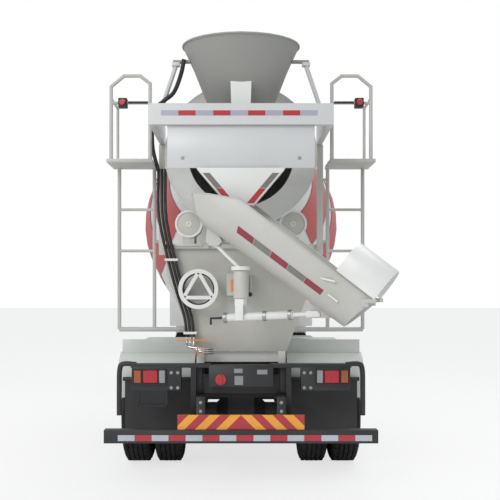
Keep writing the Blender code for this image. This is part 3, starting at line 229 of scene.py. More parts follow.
def dress(material, *names, edge=0.0025):
    """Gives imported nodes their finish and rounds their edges."""
    for name in names:
        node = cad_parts[name]
        if not node.material_slots:
            node.data.materials.append(material)
        for place in node.material_slots:
            place.material = material
        weld = node.modifiers.new("weld", "WELD")
        weld.merge_threshold = 0.00005
        if edge:
            bevel = node.modifiers.new("edge", "BEVEL")
            bevel.width = edge
            bevel.segments = 2
            bevel.limit_method = "ANGLE"
            bevel.angle_limit = math.radians(40)
        smooth = node.modifiers.new("smooth", "NODES")
        smooth.node_group = SOFT_EDGES


WHITE = painted("white_paint", (0.80, 0.80, 0.78), (0.50, 0.48, 0.43), 0.28, dust=0.32)
WARM_GREY = painted("warm_grey_paint", (0.56, 0.55, 0.51), (0.38, 0.35, 0.30), 0.36, dust=0.55)
# The hopper's grey is its paint as it looks in shade, so this colour holds painted shade. The dusty mottling over it
# is real dust.
HOPPER_SHADE_GREY = painted("hopper_grey_paint", (0.31, 0.31, 0.295), (0.33, 0.31, 0.27), 0.42, dust=0.7)
FENDER_GREY = painted("fender_grey_paint", (0.66, 0.69, 0.655), (0.40, 0.38, 0.34), 0.38, dust=0.5)
BLACK = painted("chassis_black_paint", (0.016, 0.017, 0.020), (0.10, 0.09, 0.08), 0.42, dust=0.35)
STEEL = painted("bare_steel", (0.42, 0.43, 0.44), (0.22, 0.20, 0.18), 0.34, metallic=0.85, dust=0.4, grain=300.0)
PLASTIC = painted("black_plastic", (0.022, 0.022, 0.024), (0.12, 0.11, 0.10), 0.55, dust=0.2, grain=420.0,
                  relief=0.0008)
PANEL_WHITE = painted("panel_paint", (0.63, 0.635, 0.64), (0.45, 0.44, 0.40), 0.30, dust=0.35)
dress(PANEL_WHITE, "hopper_frame", "splash_panel")
dress(WHITE, "discharge_funnel", "chute_post", "jack_barrel",
      "mixer_subframe", "water_tank", "chute_extension", "jack_rod")
dress(WARM_GREY, "rear_pedestal")
CHUTE_GREY = painted("chute_paint", (0.54, 0.53, 0.50), (0.42, 0.39, 0.34), 0.36, dust=0.5)
LADDER_GREY = painted("ladder_paint", (0.50, 0.50, 0.47), (0.36, 0.34, 0.30), 0.36, dust=0.4)
dress(CHUTE_GREY, "chute")
dress(LADDER_GREY, "access_ladder_left", "access_ladder_right")
# The hopper gets the grey with painted shade in it.
dress(HOPPER_SHADE_GREY, "hopper", edge=0.0)
dress(FENDER_GREY, "rear_fender_left", "rear_fender_right")
dress(WHITE, "cab_shell", "front_bumper", "door_left", "door_right", edge=0.012)
dress(BLACK, "chassis_frame", "rear_bumper", "front_axle", "bogie_springs", "rear_axle_rear", "rear_axle_front",
      "knuckle_left", "knuckle_right", "tail_lamp_carrier", "battery_box")
dress(STEEL, "drum_roller_left", "drum_roller_right", "fuel_tank", "drum_reducer",
      "engine_and_driveshaft")
dress(PLASTIC, "dashboard", "steering_wheel", "mirror_left", "mirror_right", "rear_mudflaps", edge=0.008)


# ---- Glass: toughened panes with a faint green edge, clear enough to show the seats.
# A thin film of dust on them varies their tint and gloss.
def clear_pane(name):
    """Window glass: thin, dark and clear, with a film of dust."""
    finish = Finish(name, Roughness=0.04, Alpha=0.35)
    place = finish.node("ShaderNodeTexCoord", out=3)
    film = finish.between(finish.noise(place, 3.0), 0.4, 0.7)
    finish.join(finish.blend(film, (0.05, 0.07, 0.07), (0.10, 0.12, 0.12)), finish.shader.inputs["Base Color"])
    finish.join(film * 0.08 + 0.03, finish.shader.inputs["Roughness"])
    return finish.material


GLASS = clear_pane("window_glass")
dress(GLASS, "windscreen", "door_glass_left", "door_glass_right", edge=0.0)


# ---- Drum: rolled and welded cones of wear plate with a machined race ring and a drip rim at its
# mouth. The paint is white, with plain red fields on the two sides.
def turned(profile, origin, axis, count=96):
    """A ring turned from a closed loop of (along the axis, radius)."""
    axis = Vector(axis).normalized()
    across = axis.orthogonal().normalized()
    up = axis.cross(across)
    points = []
    for along, radius in profile:
        for i in range(count):
            turn = 2 * math.pi * i / count
            points.append(Vector(origin) + along * axis + radius * (math.cos(turn) * across + math.sin(turn) * up))
    faces = []
    for k in range(len(profile)):
        here, there = k * count, ((k + 1) % len(profile)) * count
        for i in range(count):
            j = (i + 1) % count
            faces.append((here + i, here + j, there + j, there + i))
    return points, faces


def made(name, parts, material, body, slot, edge=0.0, smooth=35, stands_for=()):
    """One finished piece out of (points, faces) parts, riding on a body."""
    points, faces = [], []
    for some_points, some_faces in parts:
        start = len(points)
        points += [tuple(point) for point in some_points]
        faces += [[start + i for i in face] for face in some_faces]
    mesh = bpy.data.meshes.new(name)
    mesh.from_pydata(points, [], faces)
    work = bmesh.new()
    work.from_mesh(mesh)
    bmesh.ops.recalc_face_normals(work, faces=work.faces)
    work.to_mesh(mesh)
    work.free()
    mesh.polygons.foreach_set("use_smooth", [True] * len(mesh.polygons))
    mesh.set_sharp_from_angle(angle=math.radians(smooth))
    mesh.materials.append(material)
    item = bpy.data.objects.new(name, mesh)
    bpy.context.collection.objects.link(item)
    if edge:
        bevel = item.modifiers.new("edge", "BEVEL")
        bevel.width = edge
        bevel.segments = 2
        bevel.limit_method = "ANGLE"
        bevel.angle_limit = math.radians(40)
    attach(item, body)
    if stands_for:
        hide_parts(*stands_for)
    return item


def at(x, y, z):
    """A place counted from the bumper's rear face."""
    return Vector((x, BACK + y, z))


DRUM_TILT = math.radians(12)
DRUM_AXIS = Vector((0, math.cos(DRUM_TILT), -math.sin(DRUM_TILT)))
MOUTH = at(0, 0.24, 3.12)
DRUM_LOOP = [(0.0, 0.72), (0.05, 0.72), (0.10, 0.61), (0.36, 0.605), (0.36, 0.64), (0.48, 0.64), (0.48, 0.615),
             (0.60, 0.64), (1.42, 0.915), (1.43, 0.921), (2.25, 1.17), (3.20, 1.17), (4.0, 0.885), (4.75, 0.62),
             (4.87, 0.30), (4.999, 0.20), (4.85, 0.01), (4.73, 0.60), (3.195, 1.15), (2.255, 1.15), (0.60, 0.60),
             (0.12, 0.56), (0.06, 0.50), (0.03, 0.69)]
DRUM_WHITE = painted("drum_white_paint", (0.78, 0.78, 0.76), (0.42, 0.39, 0.34), 0.30, dust=0.5)
made("drum_shell", [turned(DRUM_LOOP, MOUTH, DRUM_AXIS, 128)], DRUM_WHITE, "drum", "white_paint", smooth=40,
     stands_for=("drum",))
RED_PAINT = painted("red_field_paint", (0.50, 0.035, 0.035), (0.36, 0.16, 0.13), 0.30, dust=0.3)
DRUM_SIDE = DRUM_LOOP[7:14]


def drum_radius(along):
    """The drum's outer radius at a length from its mouth."""
    for (first, small), (last, large) in zip(DRUM_SIDE, DRUM_SIDE[1:]):
        if along <= last:
            return small + (large - small) * (along - first) / (last - first)
    return DRUM_SIDE[-1][1]


def drum_field(start, end, low, high, slant, sign):
    """A closed thin shell on the drum's side between two lengths and two angles above the side."""
    steps = 20
    points = []
    for lift in (0.006, 0.008):
        for i in range(steps + 1):
            for k in range(steps + 1):
                turn = math.radians(low + (high - low) * k / steps)
                along = start + (end - start) * i / steps + slant * k / steps
                out = math.cos(turn) * Vector((sign, 0, 0)) + math.sin(turn) * DRUM_AXIS.cross(Vector((-1, 0, 0)))
                points.append(MOUTH + along * DRUM_AXIS + (drum_radius(along) + lift) * out)
    row = steps + 1
    sheet = row * row
    faces = []
    for i in range(steps):
        for k in range(steps):
            a = i * row + k
            faces += [(a, a + 1, a + row + 1, a + row), (sheet + a, sheet + a + row, sheet + a + row + 1, sheet + a + 1)]
    for i in range(steps):
        for a, b in ((i, i + 1), (steps * row + i, steps * row + i + 1), (i * row, (i + 1) * row),
                     (i * row + steps, (i + 1) * row + steps)):
            faces.append((a, b, sheet + b, sheet + a))
    return points, faces


for side, sign in (("left", -1), ("right", 1)):
    fields = [drum_field(0.75, 1.45, -32, 30, 0.35, sign), drum_field(1.75, 2.9, -34, 32, 0.35, sign)]
    made("drum_field_" + side, fields, RED_PAINT, "drum", "white_paint")


# ---- Wheels: radial truck tyres with four grooves and shoulder lugs on pressed steel discs.
# The lugs and the wheel nuts are repeated round the axle by one tree of instances.
def box(x, y, z):
    """A box between the two values of x, of y and of z."""
    x, y, z = sorted(x), sorted(y), sorted(z)
    points = [Vector((a, b, c)) for c in z for b in y for a in x]
    return points, [(0, 2, 3, 1), (4, 5, 7, 6), (0, 1, 5, 4), (2, 6, 7, 3), (0, 4, 6, 2), (1, 3, 7, 5)]


def block(x, y, z):
    """A box counted from the bumper's rear face."""
    return box(x, (BACK + y[0], BACK + y[1]), z)


def repeat_tree():
    """A tree that puts an item, at a size, on every point of a mesh, turned as the point says."""
    tree = bpy.data.node_groups.new("repeat_item", "GeometryNodeTree")
    sockets = {}
    for label, kind in (("Geometry", "Geometry"), ("Item", "Object"), ("Size", "Float"), ("Finish", "Material")):
        sockets[label] = tree.interface.new_socket(label, in_out="INPUT", socket_type="NodeSocket" + kind)
    tree.interface.new_socket("Geometry", in_out="OUTPUT", socket_type="NodeSocketGeometry")
    way_in = tree.nodes.new("NodeGroupInput")
    way_out = tree.nodes.new("NodeGroupOutput")
    item = tree.nodes.new("GeometryNodeObjectInfo")
    turn = tree.nodes.new("GeometryNodeInputNamedAttribute")
    turn.data_type = "FLOAT_VECTOR"
    turn.inputs["Name"].default_value = "turn"
    spread = tree.nodes.new("GeometryNodeInstanceOnPoints")
    realize = tree.nodes.new("GeometryNodeRealizeInstances")
    finish = tree.nodes.new("GeometryNodeSetMaterial")
    for start, end in ((way_in.outputs["Geometry"], spread.inputs["Points"]),
                       (way_in.outputs["Item"], item.inputs["Object"]),
                       (item.outputs["Geometry"], spread.inputs["Instance"]),
                       (turn.outputs["Attribute"], spread.inputs["Rotation"]),
                       (way_in.outputs["Size"], spread.inputs["Scale"]),
                       (spread.outputs[0], realize.inputs[0]),
                       (realize.outputs[0], finish.inputs["Geometry"]),
                       (way_in.outputs["Finish"], finish.inputs["Material"]),
                       (finish.outputs[0], way_out.inputs[0])):
        tree.links.new(start, end)
    return tree, {label: socket.identifier for label, socket in sockets.items()}


REPEAT, REPEAT_INPUTS = repeat_tree()


def repeated(name, part, places, size, material, body):
    """A plain mesh of one part at each (place, turn), on one body."""
    item_mesh = bpy.data.meshes.new(name + "_item")
    item_mesh.from_pydata([tuple(point) for point in part[0]], [], part[1])
    item = bpy.data.objects.new(name + "_item", item_mesh)
    points = bpy.data.meshes.new(name + "_points")
    points.from_pydata([tuple(place) for place, turn in places], [], [])
    turns = points.attributes.new("turn", "FLOAT_VECTOR", "POINT")
    turns.data.foreach_set("vector", [value for place, turn in places for value in turn])
    host = bpy.data.objects.new(name + "_host", points)
    bpy.context.collection.objects.link(host)
    spread = host.modifiers.new("repeat", "NODES")
    spread.node_group = REPEAT
    spread[REPEAT_INPUTS["Item"]] = item
    spread[REPEAT_INPUTS["Size"]] = size
    spread[REPEAT_INPUTS["Finish"]] = material
    graph = bpy.context.evaluated_depsgraph_get()
    mesh = bpy.data.meshes.new_from_object(host.evaluated_get(graph))
    bpy.data.objects.remove(host)
    bpy.data.objects.remove(item)
    mesh.name = name
    result = bpy.data.objects.new(name, mesh)
    bpy.context.collection.objects.link(result)
    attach(result, body)
    return result


def hexagon(radius, height):
    """A bolt head standing on the origin along +Z, with a low washer under it."""
    points, faces = [], []
    rings = ((0.0, 1.5), (0.18, 1.5), (0.181, 1.0), (0.9, 1.0), (1.0, 0.85))
    for lift, wide in rings:
        for i in range(6):
            turn = math.pi * i / 3
            points.append(Vector((radius * wide * math.cos(turn), radius * wide * math.sin(turn), height * lift)))
    for k in range(len(rings) - 1):
        for i in range(6):
            faces.append((6 * k + i, 6 * k + (i + 1) % 6, 6 * k + 6 + (i + 1) % 6, 6 * k + 6 + i))
    return points, faces + [(5, 4, 3, 2, 1, 0), tuple(range(24, 30))]


def tyre_loop(middle):
    """The tyre's own section, with four grooves in the tread and a rounded shoulder."""
    half = [(0.112, 0.285), (0.128, 0.31), (0.143, 0.37), (0.145, 0.42), (0.138, 0.475), (0.126, 0.508),
            (0.108, 0.526), (0.078, 0.528), (0.077, 0.518), (0.066, 0.518), (0.065, 0.535), (0.030, 0.535),
            (0.029, 0.520), (0.018, 0.520), (0.017, 0.535)]
    return ([(middle - along, radius) for along, radius in half]
            + [(middle + along, radius) for along, radius in reversed(half)])


def rubber(name):
    """Tyre rubber: a dry fine grain with clouds of road dust."""
    finish = Finish(name, Specular_IOR_Level=0.25)
    place = finish.node("ShaderNodeTexCoord", out=3)
    cloud = finish.between(finish.noise(place, 5.0, 6.0), 0.42, 0.7)
    grain = finish.noise(place, 240.0, 2.0)
    colour = finish.blend(cloud * 0.5, (0.014, 0.014, 0.015), (0.06, 0.055, 0.05))
    return finish.surface(colour, cloud * 0.12 + 0.72, grain, 0.0008, 0.5)


TYRE = rubber("tyre_rubber")
RIM_WHITE = painted("rim_paint", (0.55, 0.56, 0.57), (0.25, 0.22, 0.19), 0.4, dust=0.6)
LUG = box((-0.016, 0.016), (-0.0095, 0.0095), (-0.004, 0.0065))
LUG_COUNT = 64
NUT_COUNT = 10
AXLE_HEIGHT = 0.53538
wheels = [("front_wheel_" + side, sign * 1.01, 6.465, sign, (0.0,)) for side, sign in (("left", -1), ("right", 1))]
wheels += [("rear_twin_wheel_%s_%s" % (row, side), sign * 0.915, y, sign, (-0.165, 0.165))
           for row, y in (("rear", 1.29), ("front", 2.64)) for side, sign in (("left", -1), ("right", 1))]
for name, x, y, sign, middles in wheels:
    hub = at(x, y, AXLE_HEIGHT)
    out = Vector((sign, 0, 0))
    made("tyres_" + name, [turned(tyre_loop(middle), hub, out) for middle in middles], TYRE, name, "tyre",
         smooth=30, stands_for=(name,))
    if len(middles) == 1:
        disc = [(-0.115, 0.29), (-0.10, 0.272), (0.05, 0.262), (0.10, 0.262), (0.115, 0.29), (0.105, 0.262),
                (0.09, 0.245), (0.075, 0.20), (0.12, 0.165), (0.13, 0.10), (0.165, 0.085), (0.170, 0.046),
                (0.055, 0.046), (0.055, 0.25), (-0.09, 0.262)]
        face_at, circle_radius = 0.122, 0.135
    else:
        disc = [(-0.28, 0.29), (-0.265, 0.272), (0.0, 0.262), (0.26, 0.262), (0.28, 0.29), (0.27, 0.262),
                (0.12, 0.25), (0.085, 0.20), (0.185, 0.165), (0.19, 0.115), (0.235, 0.10), (0.24, 0.057),
                (-0.02, 0.057), (-0.02, 0.25), (-0.265, 0.262)]
        face_at, circle_radius = 0.186, 0.14
    made("rim_" + name, [turned(disc, hub, out, 72)], RIM_WHITE, name, "grey_paint", smooth=25)
    nuts = [(hub + face_at * out + circle_radius * Vector((0, math.cos(t), math.sin(t))), (0, sign * math.pi / 2, 0))
            for t in (2 * math.pi * i / NUT_COUNT for i in range(NUT_COUNT))]
    repeated("nuts_" + name, hexagon(0.016, 0.03), nuts, 1.0, STEEL, name)
    lugs = []
    for middle in middles:
        for end in (-1, 1):
            for i in range(LUG_COUNT):
                t = 2 * math.pi * (i + (end + 1) / 4) / LUG_COUNT
                spot = hub + (middle + end * 0.094) * out + 0.5275 * Vector((0, math.sin(t), math.cos(t)))
                lugs.append((spot, (-t, 0, 0)))
    repeated("lugs_" + name, LUG, lugs, 1.0, TYRE, name)


# ---- Marking tapes: self-stuck reflective film in red and white lengths on the bumper, the cross
# beam, the funnel and the chute, and a red and yellow chevron film on the board over the bumper.
def reflective(name, colour, second, cell=170.0):
    """Reflective film: small sealed cells under a clear coat, faded in clouds."""
    finish = Finish(name, Coat_Weight=0.6)
    place = finish.node("ShaderNodeTexCoord", out=3)
    cells = finish.node("ShaderNodeTexVoronoi", {"Vector": place, "Scale": cell}, feature="DISTANCE_TO_EDGE")
    edge = finish.between(cells, 0.0, 0.12)
    cloud = finish.between(finish.noise(place, 7.0), 0.35, 0.75)
    return finish.surface(finish.blend(cloud * 0.4 + edge * 0.25, colour, second), 0.3, edge, 0.0004, 0.3)


TAPE_RED = reflective("red_tape", (0.50, 0.012, 0.03), (0.34, 0.02, 0.03))
TAPE_WHITE = reflective("white_tape", (0.52, 0.56, 0.62), (0.40, 0.42, 0.46))
TAPE_LILAC = reflective("lilac_tape", (0.42, 0.40, 0.50), (0.33, 0.32, 0.38))
TAPE_YELLOW = reflective("yellow_tape", (0.93, 0.42, 0.03), (0.80, 0.28, 0.02))
TAPE_DULL_RED = reflective("dull_red_tape", (0.28, 0.012, 0.03), (0.18, 0.02, 0.03))
TAPE_DULL_GREY = reflective("dull_grey_tape", (0.20, 0.19, 0.17), (0.13, 0.12, 0.11))
FILM = 0.0012


def flat_tape(name, x, z, y, lengths, colours, body="truck"):
    """Lengths of film of equal width, in turn in two colours, on a face that looks backwards."""
    step = (x[1] - x[0]) / lengths
    for start, material in enumerate(colours):
        parts = [block((x[0] + i * step + 0.0008, x[0] + (i + 1) * step - 0.0008), (y - FILM, y + 0.0002), z)
                 for i in range(start, lengths, len(colours))]
        made("%s_%s" % (name, material.name), parts, material, body, "board")


flat_tape("bumper_tape", (-1.1225, 1.194), (0.457, 0.511), 0.0, 15, (TAPE_WHITE, TAPE_RED))
flat_tape("beam_tape", (-0.681, 0.652), (3.315, 3.359), -0.46, 9, (TAPE_LILAC, TAPE_RED))


def clipped(outline, limit, sign):
    """The part of a convex outline of (x, z) on the near side of a limit of sign * x."""
    result = []
    for (x, z), (next_x, next_z) in zip(outline, outline[1:] + outline[:1]):
        inside, next_inside = sign * x <= limit, sign * next_x <= limit
        if inside:
            result.append((x, z))
        if inside != next_inside:
            share = (sign * limit - x) / (next_x - x)
            result.append((sign * limit, z + share * (next_z - z)))
    return result


def plate(outline, y, thick):
    """A flat plate whose outline is (x, z), from y backwards by its thickness."""
    count = len(outline)
    points = [at(x, y - depth, z) for depth in (0.0, thick) for x, z in outline]
    sides = [(i, (i + 1) % count, count + (i + 1) % count, count + i) for i in range(count)]
    return points, [tuple(range(count)), tuple(range(2 * count - 1, count - 1, -1))] + sides


board_low, board_high = 0.5555, 0.6895
BOARD_HALF = 0.5795
STRIPE = 0.096
lean = board_high - board_low
stripes = {True: [], False: []}
for sign in (-1, 1):
    edges = [0.0, lean] + [lean + STRIPE * i for i in range(1, 8)]
    for i, (near, far) in enumerate(zip(edges, edges[1:])):
        outline = [(sign * near, board_low), (sign * far, board_low), (sign * max(far - lean, 0.0), board_high)]
        if i:
            outline.append((sign * (near - lean), board_high))
        cut = clipped(outline, BOARD_HALF, sign)
        if len(cut) > 2:
            stripes[i % 2 == 0].append(plate(cut, 0.03, FILM))
made("chevron_red", stripes[True], TAPE_RED, "truck", "board")
made("chevron_yellow", stripes[False], TAPE_YELLOW, "truck", "board")
dress(TAPE_YELLOW, "chevron_board", edge=0.002)

FUNNEL_EDGE = ((0.11, 2.555), (0.38, 2.875))
for part, (start, end), material in (("low", (0.05, 0.45), TAPE_RED), ("high", (0.46, 0.86), TAPE_DULL_GREY)):
    strips = []
    for sign in (-1, 1):
        (x0, z0), (x1, z1) = FUNNEL_EDGE
        low = (x0 + (x1 - x0) * start, z0 + (z1 - z0) * start)
        high = (x0 + (x1 - x0) * end, z0 + (z1 - z0) * end)
        strips.append(plate([(sign * (low[0] - 0.075), low[1]), (sign * (low[0] - 0.015), low[1]),
                             (sign * (high[0] - 0.015), high[1]), (sign * (high[0] - 0.075), high[1])], -0.445, FILM))
    made("funnel_tape_" + part, strips, material, "truck", "board")

CHUTE_FRAME = Matrix.Translation(at(0, -0.37, 0)) @ Matrix.Rotation(math.radians(-17), 4, "Z")
SIDE_LOW = [Vector((-0.05 + 0.55 * 0.11, -0.24, 2.20 + 0.55 * 0.38)),
            Vector((0.89 + 0.55 * 0.256, -0.225, 1.529 + 0.55 * 0.211))]
FACET = math.radians(-67.5)
share = 0.55 * (1 - math.cos(FACET))
SIDE_NEXT = [Vector((-0.05 + share * 0.11, 0.24 * math.sin(FACET), 2.20 + share * 0.38)),
             Vector((0.89 + share * 0.256, 0.225 * math.sin(FACET), 1.529 + share * 0.211))]
side_normal = (SIDE_LOW[1] - SIDE_LOW[0]).cross(SIDE_NEXT[0] - SIDE_LOW[0]).normalized()
side_normal *= -1 if side_normal.y > 0 else 1
for start, material in ((0, TAPE_DULL_RED), (1, TAPE_DULL_GREY)):
    parts = []
    for i in range(start, 5, 2):
        corners = []
        for lift in (0.0004, 0.002):
            for along, up in ((i, 0.15), (i + 0.97, 0.15), (i + 0.97, 0.85), (i, 0.85)):
                t = 0.04 + 0.142 * along
                first = SIDE_LOW[0].lerp(SIDE_LOW[1], t)
                second = SIDE_NEXT[0].lerp(SIDE_NEXT[1], t)
                corners.append(CHUTE_FRAME @ (first.lerp(second, up) + lift * side_normal))
        parts.append((corners, [(0, 1, 2, 3), (7, 6, 5, 4), (0, 4, 5, 1), (1, 5, 6, 2), (2, 6, 7, 3), (3, 7, 4, 0)]))
    made("chute_tape_" + material.name, parts, material, "chute", "board")


# ---- Tail lamps: moulded lens blocks in amber, red and clear, ribbed inside, screwed to the black
# carrier, with a bare number-plate holder on the left and a red battery switch in the middle.
def lens(name, colour, deep):
    """Lamp plastic: upright ribs under a glossy face."""
    finish = Finish(name, Roughness=0.12, Coat_Weight=0.5)
    place = finish.node("ShaderNodeTexCoord", out=3)
    ribs = finish.node("ShaderNodeTexWave", {"Vector": place, "Scale": 26.0}, bands_direction="X")
    cloud = finish.between(finish.noise(place, 18.0), 0.35, 0.7)
    return finish.surface(finish.blend(ribs * 0.45 + cloud * 0.3, colour, deep), 0.14, ribs, 0.002, 0.6)


AMBER = lens("amber_lens", (0.42, 0.10, 0.015), (0.20, 0.05, 0.01))
RED_LENS = lens("red_lens", (0.55, 0.008, 0.02), (0.26, 0.005, 0.01))
CLEAR = lens("clear_lens", (0.36, 0.36, 0.37), (0.20, 0.20, 0.21))
LAMP_FACE = 0.17
for name, x, material in (("amber", (0.929, 1.0), AMBER), ("red", (0.776, 0.914), RED_LENS),
                          ("clear", (0.707, 0.765), CLEAR)):
    parts = [block((s * x[0], s * x[1]), (LAMP_FACE - 0.018, LAMP_FACE + 0.002), (0.964, 1.085)) for s in (-1, 1)]
    made("tail_lens_" + name, parts, material, "truck", "board", edge=0.006)
bezel = []
for s in (-1, 1):
    for x in ((0.695, 0.705), (0.767, 0.774), (0.916, 0.927), (1.002, 1.012)):
        bezel.append(block((s * x[0], s * x[1]), (LAMP_FACE - 0.022, LAMP_FACE + 0.002), (0.952, 1.097)))
    for z in ((0.950, 0.962), (1.087, 1.099)):
        bezel.append(block((s * 0.695, s * 1.012), (LAMP_FACE - 0.022, LAMP_FACE + 0.002), z))
made("tail_lamp_bezels", bezel, PLASTIC, "truck", "cab_plastic", edge=0.002)
made("plate_holder_frame", [block((-0.965, -0.685), (0.172, 0.18), z) for z in ((0.745, 0.757), (0.885, 0.897))]
     + [block(x, (0.172, 0.18), (0.745, 0.897)) for x in ((-0.965, -0.953), (-0.697, -0.685))],
     BLACK, "truck", "black_paint", edge=0.002)
switch = at(-0.189, LAMP_FACE, 0.995)
BACKWARDS = Vector((0, -1, 0))
made("battery_switch", [turned([(0.0, 0.004), (0.0, 0.052), (0.012, 0.052), (0.018, 0.046), (0.018, 0.004)],
                               switch, BACKWARDS, 40),
                        block((-0.200, -0.178), (LAMP_FACE - 0.04, LAMP_FACE - 0.016), (0.958, 1.032))],
     RED_PAINT, "truck", "board", edge=0.002)
LABEL_GREY = painted("label_grey", (0.30, 0.30, 0.31), (0.2, 0.2, 0.2), 0.35, dust=0.4)
made("panel_plates", [block((-0.065, 0.015), (LAMP_FACE - 0.003, LAMP_FACE), (1.058, 1.098)),
                      block((0.150, 0.246), (LAMP_FACE - 0.003, LAMP_FACE), (1.045, 1.088)),
                      block((-0.06, 0.02), (LAMP_FACE - 0.003, LAMP_FACE), (0.945, 1.03))],
     LABEL_GREY, "truck", "grey_paint", edge=0.001)


# ---- Bent guard tubes: black steel tubes that shield the lamps at both sides, bent once at the
# top corner and bolted to the lamp carrier.
def tube(points, radius, count=14):
    """A bent round bar with both ends closed."""
    points = [Vector(point) for point in points]
    rings, side = [], None
    for i, point in enumerate(points):
        before = (point - points[max(i - 1, 0)]).normalized()
        after = (points[min(i + 1, len(points) - 1)] - point).normalized()
        run = (before + after).normalized()
        side = run.orthogonal() if side is None else side - side.dot(run) * run
        side = side.normalized()
        up = side.cross(run)
        rings += [point + radius * (math.cos(2 * math.pi * k / count) * side + math.sin(2 * math.pi * k / count) * up)
                  for k in range(count)]
    faces = [tuple(range(count - 1, -1, -1)), tuple(range(len(rings) - count, len(rings)))]
    for start in range(0, len(rings) - count, count):
        faces += [(start + i, start + (i + 1) % count, start + count + (i + 1) % count, start + count + i)
                  for i in range(count)]
    return rings, faces


def curve(route, count=24):
    """Points at even steps along a smooth curve through the route's own points."""
    route = [Vector(point) for point in route]
    ends = [2 * route[0] - route[1], *route, 2 * route[-1] - route[-2]]
    spans = len(route) - 1
    result = []
    for i in range(count):
        place = spans * i / (count - 1)
        k = min(int(place), spans - 1)
        t = place - k
        a, b, c, d = ends[k:k + 4]
        result.append(0.5 * (2 * b + (c - a) * t + (2 * a - 5 * b + 4 * c - d) * t * t
                             + (3 * b - a - 3 * c + d) * t * t * t))
    return result


guards = [tube(curve([at(s * x, 0.20, z) for x, z in ((0.98, 1.135), (1.10, 1.14), (1.135, 1.09), (1.14, 0.9),
                                                      (1.14, 0.66))], 20), 0.024) for s in (-1, 1)]
made("lamp_guard_tubes", guards, BLACK, "truck", "black_paint")


# ---- Bolts: hexagon heads with washers, driven from behind into the rear plates and brackets, and
# two rows of them along each frame rail. The roller covers get a turned rim and a small ring.
FACING_BACK = (math.pi / 2, 0, 0)
bolts = [at(s * 0.50, -0.428, 2.96) for s in (-1, 1)]
bolts += [at(s * x, 0.386, 2.25) for s in (-1, 1) for x in (0.30, 0.72)]
bolts += [at(s * x, 0.169, z) for s in (-1, 1) for x in (0.59, 0.65) for z in (0.92, 1.06)]
bolts += [at(s * 0.37, 0.049, z) for s in (-1, 1) for z in (0.72, 0.80)]
repeated("rear_bolts", hexagon(0.011, 0.010), [(spot, FACING_BACK) for spot in bolts], 1.0, STEEL, "truck")
FACING_OUT = {-1: (0, -math.pi / 2, 0), 1: (0, math.pi / 2, 0)}
frame_bolts = [(at(s * 0.4305, 0.45 + 0.30 * i, z), FACING_OUT[s]) for s in (-1, 1) for i in range(24)
               for z in (0.88, 1.05)]
repeated("frame_bolts", hexagon(0.012, 0.010), frame_bolts, 1.0, STEEL, "truck")
cover_rings = []
for x in (-0.5, 0.5):
    cover = at(x, 0.3705, 2.465)
    cover_rings.append(turned([(0.0, 0.112), (0.0, 0.132), (0.010, 0.132), (0.010, 0.112)], cover, BACKWARDS, 48))
    cover_rings.append(turned([(0.0, 0.012), (0.0, 0.026), (0.008, 0.026), (0.008, 0.012)], cover, BACKWARDS, 24))
made("roller_cover_rims", cover_rings, WHITE, "truck", "white_paint", edge=0.001)


# ---- Hoses: three black pressure hoses run down from the deck to the pump, and a thick one loops
# over the beam to the hopper. White clamps and orange straps hold them; spare hose is stored on rings.
def hose_skin(name, colour):
    """Hose cover: a fine wrapped texture, dusty in places."""
    finish = Finish(name)
    place = finish.node("ShaderNodeTexCoord", out=3)
    weave = finish.node("ShaderNodeTexVoronoi", {"Vector": place, "Scale": 260.0})
    cloud = finish.between(finish.noise(place, 9.0), 0.4, 0.7)
    return finish.surface(finish.blend(cloud * 0.4, colour, (0.07, 0.06, 0.055)), 0.5, weave, 0.0008, 0.4)


HOSE = hose_skin("hose_rubber", (0.013, 0.013, 0.014))


def hose(name, route, radius, count=24):
    """A hose that is fixed at both ends, as one open curve."""
    points = curve(route, count)
    data = bpy.data.curves.new(name, "CURVE")
    data.dimensions = "3D"
    data.bevel_depth = radius
    data.bevel_resolution = 4
    data.use_fill_caps = True
    line = data.splines.new("POLY")
    line.points.add(len(points) - 1)
    for spot, point in zip(line.points, points):
        spot.co = (*point, 1)
    data.materials.append(HOSE)
    item = bpy.data.objects.new(name, data)
    bpy.context.collection.objects.link(item)
    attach(item, "truck")
    length = sum((b - a).length for a, b in zip(points, points[1:]))
    return item


HOSE_ROUTE = [(-0.79, 2.99), (-0.785, 2.53), (-0.69, 2.09), (-0.62, 1.83), (-0.54, 1.57), (-0.52, 1.38)]
hoses = [hose("pressure_hose_%d" % (i + 1), [at(x + 0.034 * i, 0.36, z) for x, z in HOSE_ROUTE], 0.014)
         for i in range(3)]
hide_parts("hydraulic_hoses")
hose("wash_hose", [at(-0.79, 0.36, 2.97), at(-0.84, 0.30, 3.20), at(-0.80, 0.05, 3.46), at(-0.70, -0.10, 3.52),
                   at(-0.60, -0.12, 3.60), at(-0.53, -0.20, 3.74), at(-0.50, -0.24, 3.86)], 0.019, 30)
clamps = [block((x - 0.03, x + 0.098), (0.34, 0.4397), (z - 0.012, z + 0.012)) for x, z in ((-0.70, 2.12), (-0.52, 1.42))]
made("hose_clamps", clamps, WHITE, "truck", "white_paint", edge=0.003)
CHROME = painted("bright_pipe", (0.62, 0.62, 0.62), (0.35, 0.33, 0.3), 0.16, metallic=1.0, dust=0.3, grain=300.0)
pipes = [tube(curve([at(-0.52 + 0.034 * i, 0.36, 1.39), at(-0.52 + 0.034 * i, 0.36, 1.33),
                     at(-0.50 + 0.034 * i, 0.32, 1.29 - 0.012 * i), at(-0.34, 0.30, 1.275 - 0.02 * i),
                     at(-0.27, 0.36, 1.27 - 0.02 * i)], 16), 0.011) for i in range(3)]
made("pump_pipes", pipes, CHROME, "truck", "steel")
ORANGE = painted("orange_strap", (0.85, 0.28, 0.03), (0.5, 0.2, 0.05), 0.5, dust=0.2)
made("orange_straps", [block((x, x + 0.012), (0.285, 0.34), (1.20, 1.30)) for x in (-0.42, -0.36)]
     + [block((-0.62, -0.30), (0.348, 0.356), (1.345, 1.357))], ORANGE, "truck", "board", edge=0.002)
